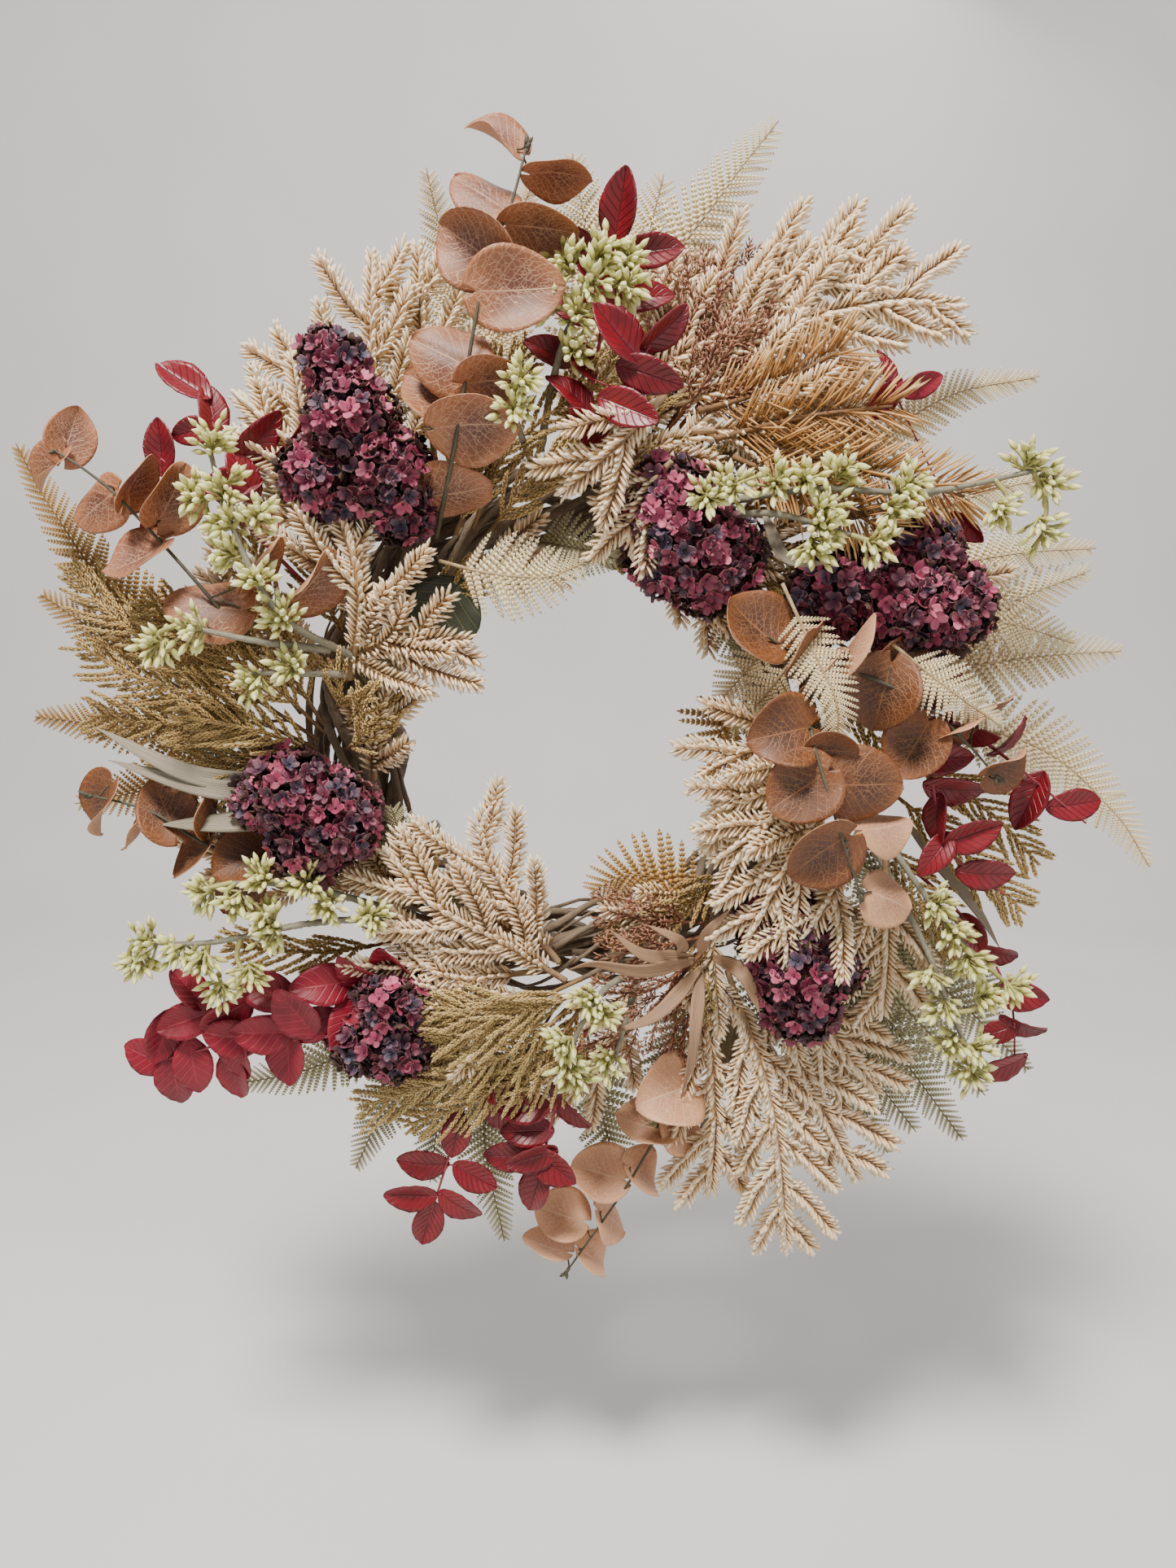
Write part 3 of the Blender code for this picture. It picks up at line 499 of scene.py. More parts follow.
def frond(pile, places, reach):
    """A fern frond: pairs of lobed side leaves that shorten towards the tip."""
    bare, droop, least_width = 0.2, 0.12, 13
    path = route(places)
    total = path_length(path)
    pitch = 1.7 + 0.14 * reach
    pile.tube(path, np.linspace(1.1, 0.35, len(path)), 5, shade=0.4)
    shares, hands = [], []
    distance = total * bare
    while distance < total - 3:
        shares += [distance / total, (distance + pitch * 0.25) / total]
        hands += [1, -1]
        distance += pitch * (1 - 0.45 * distance / total)
    shares, hands = np.array(shares), np.array(hands)
    grown = (shares - bare) / (1 - bare)
    sizes = reach * np.minimum(0.62 + 1.6 * grown, 1.0) * (1 - grown) ** 0.72 + 3
    origins, axis = at(path, shares)
    side = unit(np.cross(axis, FRONT))
    up = np.cross(side, axis)
    angle = np.radians(66 - 22 * grown) * pile.rng.uniform(0.93, 1.07, len(shares))
    along = (axis * np.cos(angle)[:, None] + side * (hands * np.sin(angle))[:, None]
             - up * (droop + pile.rng.uniform(-0.12, 0.12, len(shares)))[:, None])
    tone = pile.rng.uniform(0.3, 0.7)
    shades = np.clip(tone + 0.25 * grown + pile.rng.uniform(-0.12, 0.12, len(shares)), 0, 1)
    tilt = up + side * pile.rng.uniform(-0.2, 0.2, len(shares))[:, None]
    pile.add(PINNA, frames(origins, along, tilt, sizes, np.maximum(sizes, least_width), sizes), shades)


def leafy(pile, stems, leaves, shapes, width, stem_radius, turn_limit, behind=0.0, pitch=0.6,
          scale=1.0):
    """Leaves at given places, each joined to the nearest stem. A leaf is
    (clock, out, front, length, tilt): tilt turns it about its own length, 0 facing forwards. A
    random turn within the limit comes on top, of which the pitch share tips it up or down."""
    paths = [route(stem) for stem in stems]
    for path in paths:
        pile.tube(path, np.linspace(stem_radius, stem_radius * 0.45, len(path)), 6)
    nodes = np.vstack(paths)
    slopes = np.vstack([unit(np.gradient(path, axis=0)) for path in paths])
    for number, (clock, out, front, size, tilt) in enumerate(leaves):
        size = size * scale
        middle = place(clock, out, front - behind)
        gaps = np.linalg.norm((nodes - middle) * [1, 0.4, 1], axis=1)
        back = np.argmin(gaps)
        way = (middle - nodes[back]) * [1.0, 0.35, 1.0]
        flat = np.hypot(way[0], way[2])
        way = unit(way + slopes[back] * max(0.3 * flat, 9 - flat))
        base = middle - way * size * 0.5
        jitter = pile.rng.uniform(-turn_limit, turn_limit, 2)
        side = unit(np.cross(way, FRONT))
        facing = unit(FRONT + side * math.tan(math.radians(jitter[0]))
                      + way * math.tan(math.radians(jitter[1] * pitch)))
        turned = Matrix.Rotation(math.radians(tilt), 3, Vector(way)) @ Vector(facing)
        shape = shapes[(number * 5 + 1) % len(shapes)]
        pile.add(shape, frames(base, way[None, :], np.array(turned)[None, :], size, size * width, size),
                 pile.rng.uniform(0.2, 0.8))
        pile.tube(curve([nodes[back], nodes[back] * 0.4 + base * 0.6 - FRONT, base + way * size * 0.06]),
                  stem_radius * 0.42, 5)


def seed_clusters(pile, stems, clusters):
    """Starry clusters of pointed buds at given places, each on a side stalk."""
    buds = 26
    paths = [route(stem) for stem in stems]
    for path in paths:
        pile.tube(path, np.linspace(2.2, 1.2, len(path)), 6, ripple=0.12)
    nodes = np.vstack(paths)
    slopes = np.vstack([unit(np.gradient(path, axis=0)) for path in paths])
    for clock, out, front in clusters:
        middle = place(clock, out, front)
        ahead = middle - nodes
        gaps = np.linalg.norm(ahead, axis=1) + 0.6 * np.maximum(0, -np.einsum("ij,ij->i", ahead, slopes))
        back = np.argmin(gaps)
        stalk = curve([nodes[back], nodes[back] * 0.5 + middle * 0.5 + slopes[back] * 4, middle])
        pile.tube(stalk, np.linspace(1.5, 1.2, len(stalk)), 6, finish=UNDER)
        main = unit(middle - nodes[back] + slopes[back] * 6)
        side = unit(np.cross(main, FRONT))
        up = np.cross(side, main)
        tone = pile.rng.uniform(0.3, 0.7)
        for k in range(buds):
            lean = math.radians(12 + 78 * math.sqrt((k + 0.5) / buds))
            turn = GOLDEN * k + pile.rng.uniform(-0.3, 0.3)
            around = side * math.cos(turn) + up * math.sin(turn)
            way = unit(main * math.cos(lean) + around * math.sin(lean) + FRONT * 0.25)
            start = middle - main * pile.rng.uniform(0, 9)
            reach = pile.rng.uniform(4.5, 10.5)
            tip = start + way * reach
            pile.tube(np.array([start, start + way * reach * 0.5, tip]), [0.8, 0.7, 0.9], 5,
                      finish=UNDER)
            size = pile.rng.uniform(5.8, 7.8)
            pile.add(BUD, frames(tip - way, way[None, :], FRONT, size, size, size * 0.95),
                     np.clip(tone + pile.rng.uniform(-0.3, 0.3), 0, 1))


def floret_head(pile, blobs):
    """A flower head: two layers of four-petalled florets over a few merged blobs. A blob is a
    place, then its half sizes across the clock, outwards and forwards."""
    spacing = 5.6
    centres, radii, axes = [], [], []
    for clock, out, front, across, outwards, depth in blobs:
        turn = math.radians(clock)
        centres.append(place(clock, out, front))
        radii.append(np.array([across, outwards, depth]))
        axes.append(np.array([[math.cos(turn), 0, -math.sin(turn)], [math.sin(turn), 0, math.cos(turn)],
                              [0, -1, 0]]))
    for number, (centre, radius, axis) in enumerate(zip(centres, radii, axes)):
        mean = float(np.prod(radius)) ** (1 / 3)
        for layer, shrink in ((0, 1.0), (1, 0.78)):
            count = int(4 * math.pi * (mean * shrink) ** 2 / spacing ** 2 * (1.0 if layer == 0 else 0.7))
            k = np.arange(count) + 0.5
            polar = np.arccos(1 - 2 * k / count)
            around = GOLDEN * k
            ball = np.column_stack([np.sin(polar) * np.cos(around), np.sin(polar) * np.sin(around),
                                    np.cos(polar)])
            ball = unit(ball + pile.rng.normal(0, 0.09, ball.shape))
            swell = shrink * pile.rng.uniform(0.8, 1.1, count)[:, None]
            spots = centre + (ball * radius * swell) @ axis
            normals = unit((ball / radius) @ axis)
            hidden = np.zeros(count, bool)
            for other, (c, r, a) in enumerate(zip(centres, radii, axes)):
                if other != number:
                    local = (spots - c) @ a.T / r
                    hidden |= np.linalg.norm(local, axis=1) < 0.8
            for spot, normal in zip(spots[~hidden], normals[~hidden]):
                floret(pile, spot, normal, layer)


def floret(pile, spot, normal, layer):
    """Four petals round a small heart. Those of the lower layer are darker: painted shade deep inside the
    head.
    """
    normal = unit(normal + pile.rng.normal(0, 0.28, 3))
    start = pile.rng.uniform(0, math.pi)
    side = unit(np.cross(normal, [0.3, 0.5, 0.8]))
    other = np.cross(normal, side)
    # the lower layer's tone is halved towards the dark end of the petal ramp: painted shade between the
    # florets
    tone = pile.rng.uniform(0, 1) * (1.0 if layer == 0 else 0.5)
    size = pile.rng.uniform(4.2, 5.8)
    for k in range(4):
        turn = start + k * math.pi / 2 + pile.rng.uniform(-0.15, 0.15)
        way = unit(side * math.cos(turn) + other * math.sin(turn) + normal * pile.rng.uniform(0.1, 0.5))
        pile.add(PETAL, frames(spot + way * 0.4, way[None, :], normal, size, size * 1.02, size),
                 np.clip(tone + pile.rng.uniform(-0.1, 0.1), 0, 1))
    pile.add(BUD, frames(spot, normal[None, :], side, 1.6, 2.6, 2.6), tone, finish=STEM)


def ribbon(pile, places, width, twist=0.0, shade=0.5):
    """A dry blade of grass that widens, then narrows to a point."""
    path = route(places, 2.5)
    count = len(path)
    shares = np.linspace(0, 1, count)
    slopes = unit(np.gradient(path, axis=0))
    facing = unit(FRONT + np.cross(slopes, FRONT) * np.sin(twist * shares)[:, None])
    side = unit(np.cross(facing, slopes))
    normal = np.cross(slopes, side)
    half = width * 0.5 * np.minimum(1, 0.35 + 2.2 * shares) * np.maximum(0.03, 1 - shares ** 2.6)
    columns = 7
    points, coords, faces = [], [], []
    for layer in (0.3, -0.3):
        for i in range(count):
            for c in range(columns):
                u = 2 * c / (columns - 1) - 1
                ridge = 0.22 * math.cos(9.4 * u) + 0.9 * abs(u)
                lift = layer + ridge * half[i] * 0.16
                points.append(path[i] + side[i] * u * half[i] + normal[i] * lift)
                coords.append((u * 0.5 + 0.5, shares[i]))
    under = count * columns
    for i in range(count - 1):
        for c in range(columns - 1):
            a = i * columns + c
            faces.append((a, a + columns, a + columns + 1, a + 1))
            faces.append((a + under, a + under + 1, a + under + columns + 1, a + under + columns))
        left, right = i * columns, i * columns + columns - 1
        faces.append((left, left + under, left + under + columns, left + columns))
        faces.append((right, right + columns, right + columns + under, right + under))
    for c in range(columns - 1):
        high = (count - 1) * columns + c
        faces.append((c, c + 1, c + 1 + under, c + under))
        faces.append((high, high + under, high + 1 + under, high + 1))
    whole = np.zeros((1, 3, 4))
    whole[0, :, :3] = np.eye(3)
    pile.add(Shape(points, coords, faces), whole, shade)


# ---- materials ----


def colour(red, green, blue):
    """A display colour, 0 to 255, as the linear colour that shaders take."""
    parts = [c / 255 for c in (red, green, blue)]
    return tuple(c / 12.92 if c <= 0.04045 else ((c + 0.055) / 1.055) ** 2.4 for c in parts) + (1.0,)


def between(first, second, share):
    """The colour at a share of the way from the first to the second."""
    return tuple(a * (1 - share) + b * share for a, b in zip(first, second))


class Shader:
    """A node tree that is written like a formula."""

    def __init__(self, name):
        self.material = bpy.data.materials.new(name)
        self.material.use_nodes = True
        self.tree = self.material.node_tree
        self.surface = self.tree.nodes["Principled BSDF"]

    def node(self, kind, inputs=(), **settings):
        made = self.tree.nodes.new("ShaderNode" + kind)
        for key, value in settings.items():
            setattr(made, key, value)
        for key, value in dict(inputs).items():
            self.put(made.inputs[key], value)
        return made

    def put(self, socket, value):
        if isinstance(value, bpy.types.NodeSocket):
            self.tree.links.new(value, socket)
        else:
            socket.default_value = value

    def set(self, **inputs):
        for key, value in inputs.items():
            self.put(self.surface.inputs[key.replace("_", " ")], value)

    def math(self, operation, first, second=0.0):
        return self.node("Math", {0: first, 1: second}, operation=operation).outputs[0]

    def times(self, first, second):
        return self.math("MULTIPLY", first, second)

    def plus(self, first, second):
        return self.math("ADD", first, second)

    def minus(self, first, second):
        return self.math("SUBTRACT", first, second)

    def off_middle(self, value):
        """How far a pattern's coordinate is from its middle."""
        return self.math("ABSOLUTE", self.minus(value, 0.5))

    def mix(self, share, first, second):
        made = self.node("Mix", data_type="RGBA")
        self.put(made.inputs[0], share)
        self.put(made.inputs[6], first)
        self.put(made.inputs[7], second)
        return made.outputs[2]

    def ramp(self, value, *stops):
        """Colours at positions of a value."""
        made = self.node("ValToRGB", {"Fac": value})
        elements = made.color_ramp.elements
        while len(elements) < len(stops):
            elements.new(0.5)
        for element, (position, tint) in zip(elements, stops):
            element.position = position
            element.color = tint
        return made.outputs["Color"]

    def fade(self, value, low, high):
        """Black to white between two values."""
        return self.ramp(value, (low, BLACK), (high, WHITE))

    def stripe(self, value, width):
        """White where the value is 0, and black from the width on."""
        return self.ramp(value, (0.0, WHITE), (width, BLACK))

    def noise(self, scale, detail=3.0, vector=None, roughness=0.55):
        inputs = {"Scale": scale, "Detail": detail, "Roughness": roughness}
        inputs["Vector"] = vector or self.object_place()
        return self.node("TexNoise", inputs).outputs["Fac"]

    def object_place(self):
        return self.node("TexCoord").outputs["Object"]

    def pattern(self):
        """(across, along) of a copied shape, as two sockets and the vector."""
        coords = self.node("UVMap", uv_map="pattern").outputs["UV"]
        parts = self.node("SeparateXYZ", {"Vector": coords})
        return parts.outputs["X"], parts.outputs["Y"], coords

    def shade(self):
        return self.node("Attribute", attribute_name="shade").outputs["Fac"]

    def bump(self, height, strength, distance=0.0006):
        made = self.node("Bump", {"Height": height, "Strength": strength, "Distance": distance})
        self.put(self.surface.inputs["Normal"], made.outputs["Normal"])


def needle_material(name, base, middle, tip, dark, roughness=0.75, pale_edge=0.0):
    """Needles whose colour changes from root to tip and from twig to twig."""
    base, middle, tip, dark = colour(*base), colour(*middle), colour(*tip), colour(*dark)
    s = Shader(name)
    across, along, _ = s.pattern()
    speck = s.noise(260, 4)
    length = s.ramp(along, (0.0, base), (0.45, middle), (1.0, tip))
    twig = s.mix(s.fade(s.shade(), 0.25, 0.8), dark, length)
    amount = s.times(s.fade(s.noise(38, 3), 0.35, 0.75), 0.35)
    tinted = s.mix(amount, s.mix(0.62, twig, length), middle)
    if pale_edge:
        edge = s.off_middle(across)
        tinted = s.mix(s.times(s.fade(edge, 0.12, 0.36), pale_edge), tinted, tip)
    s.set(Base_Color=s.mix(s.times(speck, 0.25), tinted, base), Roughness=roughness)
    s.bump(s.noise(900, 2), 0.35, 0.0003)
    return s.material


def bark_material(name, light, dark, scale):
    """Ridged bark: long fibres, cracks and patches."""
    light, dark = colour(*light), colour(*dark)
    lightest = tuple(min(1, c * 1.5) for c in light[:3]) + (1.0,)
    s = Shader(name)
    coords = s.pattern()[2]
    stretched = s.node("Mapping", {"Vector": coords, "Scale": (9.0, 1.3, 1.0)}).outputs[0]
    fibre = s.noise(2.4, 6, stretched, 0.7)
    patch = s.noise(scale, 4)
    tone = s.plus(s.times(fibre, 0.75), s.times(patch, 0.3))
    s.set(Base_Color=s.ramp(tone, (0.3, dark), (0.52, light), (0.75, lightest)), Roughness=0.8)
    s.bump(fibre, 0.8, 0.0009)
    return s.material


def round_leaf_material(name, rim, centre, vein, roughness=0.5):
    """A printed fabric leaf: pale rim, darker middle and a fine net of veins."""
    rim, centre, vein = colour(*rim), colour(*centre), colour(*vein)
    s = Shader(name)
    across, along, coords = s.pattern()
    off = s.off_middle(across)
    far = s.off_middle(along)
    edge = s.math("POWER", s.plus(s.math("POWER", off, 2.0), s.math("POWER", far, 2.0)), 0.5)
    edge = s.plus(edge, s.times(s.noise(60, 3), 0.16))
    body = s.ramp(edge, (0.20, centre), (0.44, between(centre, rim, 0.55)), (0.58, rim))
    body = s.mix(s.times(s.shade(), 0.45), body, between(centre, rim, 0.2))
    net = s.node("TexVoronoi", {"Vector": coords, "Scale": 15.0}, feature="DISTANCE_TO_EDGE").outputs[0]
    fine = s.stripe(net, 0.055)
    herring = s.math("SINE", s.times(s.minus(along, s.times(off, 0.9)), 46.0))
    herring = s.fade(herring, 0.9, 1.0)
    rib = s.stripe(off, 0.014)
    lines = s.math("MAXIMUM", s.times(fine, 0.55), s.times(herring, 0.34))
    lines = s.math("MAXIMUM", lines, s.times(rib, 0.7))
    s.set(Base_Color=s.mix(lines, body, vein), Roughness=roughness, Subsurface_Weight=0.06,
          Subsurface_Scale=0.002)
    s.bump(s.plus(lines, s.times(s.noise(700, 2), 0.3)), 0.45, 0.0005)
    return s.material


def veined_material(name, body, deep, vein, pairs, roughness, gloss=0.5):
    """A pointed leaf with side veins that slope forwards from the midrib."""
    body, deep, vein = colour(*body), colour(*deep), colour(*vein)
    s = Shader(name)
    across, along, _ = s.pattern()
    off = s.off_middle(across)
    slope = s.minus(along, s.times(off, 0.5))
    wave = s.math("SINE", s.times(slope, pairs * 2 * math.pi))
    side_veins = s.fade(wave, 0.72, 1.0)
    rib = s.stripe(off, 0.035)
    lines = s.math("MAXIMUM", s.times(side_veins, 0.75), rib)
    blotch = s.fade(s.noise(75, 4), 0.35, 0.7)
    leaf_tone = s.mix(s.times(blotch, s.shade()), body, deep)
    rim = s.fade(off, 0.42, 0.5)
    leaf_tone = s.mix(s.times(rim, 0.4), leaf_tone, between(body, vein, 0.35))
    s.set(Base_Color=s.mix(s.times(lines, 0.7), leaf_tone, vein), Roughness=roughness,
          Specular_IOR_Level=gloss)
    s.bump(s.minus(s.times(s.noise(420, 3), 0.3), lines), 0.6, 0.0006)
    return s.material


def petal_material(name):
    """Florets of plum and burgundy, some of them dusky blue, paler at the rims."""
    s = Shader(name)
    _, along, _ = s.pattern()
    tone = s.ramp(s.shade(), (0.0, colour(44, 46, 66)), (0.2, colour(40, 22, 42)),
                  (0.4, colour(82, 18, 42)), (0.62, colour(118, 24, 56)),
                  (0.84, colour(156, 48, 84)), (1.0, colour(196, 98, 122)))
    rim = s.fade(along, 0.35, 1.0)
    mottled = s.mix(s.times(s.fade(s.noise(210, 4), 0.42, 0.7), 0.5), tone,
                    colour(72, 34, 50))
    s.set(Base_Color=s.mix(s.times(rim, 0.22), mottled, colour(200, 130, 140)),
          Roughness=0.62)
    s.bump(s.noise(520, 3), 0.4, 0.0004)
    return s.material


def plain_grain(name, light, dark, scale, roughness, metallic=0.0, bump=0.3):
    """Two tones mottled by noise, for stems and wire."""
    light, dark = colour(*light), colour(*dark)
    s = Shader(name)
    grain = s.noise(scale, 4)
    tone = s.plus(s.times(grain, 0.7), s.times(s.shade(), 0.3))
    s.set(Base_Color=s.ramp(tone, (0.3, dark), (0.68, light)), Roughness=roughness, Metallic=metallic)
    s.bump(s.noise(scale * 3, 3), bump, 0.0004)
    return s.material


def bud_material(name):
    """Seed buds, pale yellow green with greener bases and creamy tips."""
    s = Shader(name)
    _, along, _ = s.pattern()
    body = s.ramp(along, (0.0, colour(140, 138, 66)), (0.4, colour(206, 202, 124)),
                  (1.0, colour(240, 236, 186)))
    body = s.mix(s.times(s.shade(), 0.35), body, colour(184, 180, 98))
    s.set(Base_Color=body, Roughness=0.55, Subsurface_Weight=0.05, Subsurface_Scale=0.002)
    s.bump(s.noise(600, 3), 0.25, 0.0003)
    return s.material


def blade_material(name, light, dark):
    """A dry blade with fine lines along it."""
    light, dark = colour(*light), colour(*dark)
    s = Shader(name)
    across, _, coords = s.pattern()
    stretched = s.node("Mapping", {"Vector": coords, "Scale": (26.0, 1.2, 1.0)}).outputs[0]
    fibre = s.noise(1.6, 4, stretched)
    lines = s.math("SINE", s.times(across, 75.0))
    tone = s.plus(s.times(fibre, 0.8), s.times(lines, 0.06))
    s.set(Base_Color=s.ramp(tone, (0.25, dark), (0.6, light)), Roughness=0.7)
    s.bump(s.plus(lines, fibre), 0.35, 0.0003)
    return s.material


# materials by name; colours are display colours, and each name ends up as a slot of some piece
LOOK = {
    "spruce": needle_material("cream_needles", (138, 86, 40), (224, 182, 118), (255, 246, 220),
                              (198, 146, 88), pale_edge=0.6),
    "spruce_stem": plain_grain("cream_twig", (176, 146, 108), (110, 82, 56), 220, 0.8),
    "juniper": needle_material("olive_scales", (108, 78, 36), (192, 158, 94), (240, 222, 164),
                               (148, 112, 60)),
    "pale_juniper": needle_material("pale_scales", (128, 98, 50), (208, 178, 114), (248, 232, 180),
                                    (170, 136, 78)),
    "pale_juniper_stem": plain_grain("pale_twig", (150, 118, 72), (92, 66, 38), 220, 0.8),
    "juniper_stem": plain_grain("juniper_twig", (128, 96, 58), (74, 52, 30), 220, 0.8),
    "cedar": needle_material("rust_scales", (104, 62, 44), (164, 110, 82), (216, 170, 140),
                             (122, 78, 56)),
    "cedar_stem": plain_grain("rust_twig", (120, 72, 44), (70, 40, 24), 220, 0.8),
    "pine": needle_material("golden_needles", (128, 82, 38), (190, 138, 76), (232, 196, 136),
                            (152, 102, 52), 0.5),
    "pine_stem": plain_grain("pine_twig", (140, 100, 60), (84, 56, 32), 220, 0.8),
    "fern": needle_material("cream_fern", (166, 136, 86), (234, 216, 174), (255, 249, 228),
                            (210, 186, 138), 0.6),
    "fern_stem": plain_grain("fern_rib", (186, 164, 126), (134, 108, 72), 260, 0.7),
    "gold_fern": needle_material("golden_fern", (112, 80, 36), (178, 136, 72), (222, 188, 122),
                                 (132, 96, 44), 0.65),
    "gold_fern_stem": plain_grain("golden_rib", (150, 114, 64), (92, 64, 32), 260, 0.7),
    "khaki_fern": needle_material("khaki_fern", (122, 114, 80), (178, 170, 130), (216, 210, 174),
                                  (142, 134, 100), 0.65),
    "khaki_fern_stem": plain_grain("khaki_rib", (132, 118, 84), (82, 70, 46), 260, 0.7),
    "round": round_leaf_material("brown_round_leaf", (156, 96, 58), (92, 54, 42), (214, 168, 130)),
    "round_dark": round_leaf_material("deep_round_leaf", (114, 64, 28), (66, 38, 22), (168, 114, 68)),
    "round_pale": round_leaf_material("peach_round_leaf", (206, 152, 110), (176, 126, 94),
                                      (230, 196, 162)),
    "round_under": round_leaf_material("round_leaf_back", (186, 136, 98), (150, 106, 80),
                                       (214, 178, 144), 0.6),
    "round_stem": plain_grain("olive_stem", (88, 82, 60), (50, 46, 34), 200, 0.7),
    "red": veined_material("burgundy_leaf", (120, 8, 22), (56, 4, 14), (62, 4, 14), 8, 0.4, 0.45),
    "red_dusty": veined_material("dusty_red_leaf", (132, 18, 38), (78, 8, 24), (158, 52, 66), 7, 0.45,
                                 0.4),
    "red_under": plain_grain("red_leaf_back", (122, 20, 32), (76, 10, 22), 300, 0.6),
    "red_stem": plain_grain("red_stem", (158, 54, 66), (98, 26, 38), 240, 0.6),
    "bud": bud_material("seed_bud"),
    "bud_stalk": plain_grain("green_stalk", (186, 180, 112), (130, 124, 72), 300, 0.6),
    "bud_stem": bark_material("grey_stem", (138, 132, 112), (84, 78, 62), 180),
    "petal": petal_material("plum_petal"),
    "petal_heart": plain_grain("floret_heart", (120, 60, 70), (60, 28, 40), 400, 0.7),
    "head_stem": plain_grain("plum_stalk", (92, 64, 52), (46, 32, 28), 240, 0.8),
    "grass": blade_material("dry_grass", (182, 144, 110), (112, 84, 60)),
    "grey_grass": blade_material("grey_grass", (168, 156, 134), (108, 98, 82)),
    "lemon": veined_material("dark_green_leaf", (58, 62, 42), (38, 42, 28), (96, 98, 66), 7, 0.55),
    "vine": bark_material("vine_bark", (122, 104, 84), (62, 48, 36), 90),
    "wire": plain_grain("florist_wire", (150, 142, 132), (96, 90, 84), 500, 0.42, 0.85, 0.2),
}


# ---- the sprays ----

# Each row's name is that of its CAD node, or of a sprig that has none. A stem is a list of places
# from its root to its tip. Stems, leaves and clusters are made in the order given.

# name, look, length of the longest side leaf, stems
FERNS = (
    ("fern_top_right", "fern", 40,
     [[(12, 35, 16), (11, 120, 24), (15, 170, 32), (18, 208, 40)],
      [(6, 35, 14), (3, 110, 20), (0, 178, 34)], [(9, 40, 12), (8, 120, 16), (9, 175, 24)]]),
    ("fern_top_left", "fern", 28,
     [[(-22, 30, 14), (-15, 125, 20), (-14, 180, 36)], [(-17, 35, 12), (-9, 125, 15), (-4, 168, 25)],
      [(-24, 40, 14), (-22, 100, 20), (-22, 150, 28)]]),
    ("fern_left", "gold_fern", 29,
     [[(-82, 40, 18), (-72, 130, 34), (-65, 180, 40), (-61, 208, 42)],
      [(-86, 35, 14), (-88, 115, 20), (-87, 175, 30)], [(-90, 45, 16), (-96, 110, 22), (-97, 160, 26)],
      [(-78, 50, 16), (-78, 120, 28), (-74, 175, 34)]]),
    ("fern_inner_top", "fern", 30,
     [[(-34, -6, 66), (-24, -24, 78), (-8, -34, 82), (4, -27, 78)]]),
    ("fern_right_upper", "fern", 24,
     [[(42, 40, 22), (46, 135, 36), (51, 184, 45)], [(52, 40, 22), (58, 130, 30), (61, 175, 42)],
      [(60, 50, 24), (66, 130, 32), (69, 175, 36)]]),
    ("fern_right", "fern", 32,
     [[(76, 40, 20), (72, 120, 26), (71, 170, 35)],
      [(84, 50, 20), (90, 130, 30), (97, 180, 33), (102, 208, 36)],
      [(78, 45, 24), (79, 130, 34), (80, 178, 36)], [(66, 45, 26), (73, 110, 40), (78, 150, 44)]]),
    ("fern_right_front", "fern", 20,
     [[(49, 10, 90), (66, 4, 103), (76, 6, 107), (88, 4, 102)],
      [(69, 44, 84), (78, 64, 92), (85, 92, 87)], [(66, 0, 60), (74, -26, 62), (83, -44, 52)],
      [(60, -6, 60), (65, -30, 60), (71, -46, 54)]]),
    ("fern_bottom_inner", "gold_fern", 35,
     [[(138, -8, 40), (148, -42, 44), (160, -52, 46), (174, -46, 46)],
      [(74, -30, 40), (82, -46, 44), (90, -52, 40)]]),
    ("fern_bottom_right", "khaki_fern", 34,
     [[(132, 30, 16), (134, 130, 18), (136, 212, 26)], [(126, 30, 16), (124, 130, 22), (126, 208, 28)],
      [(128, 40, 20), (129, 120, 24), (131, 200, 26)], [(138, 40, 16), (141, 120, 20), (143, 190, 24)],
      [(134, 50, 22), (138, 120, 26), (139, 186, 30)], [(122, 40, 20), (120, 110, 26), (121, 168, 30)]]),
    ("fern_bottom", "khaki_fern", 32,
     [[(-164, 30, 14), (-167, 120, 16), (-172, 188, 25)],
      [(-158, 30, 12), (-153, 120, 20), (-153, 168, 25)],
      [(-152, 30, 14), (-143, 115, 20), (-135, 165, 30)],
      [(-158, 40, 18), (-160, 110, 22), (-162, 160, 24)],
      [(178, 40, 18), (176, 100, 20), (174, 150, 24)]]),
)
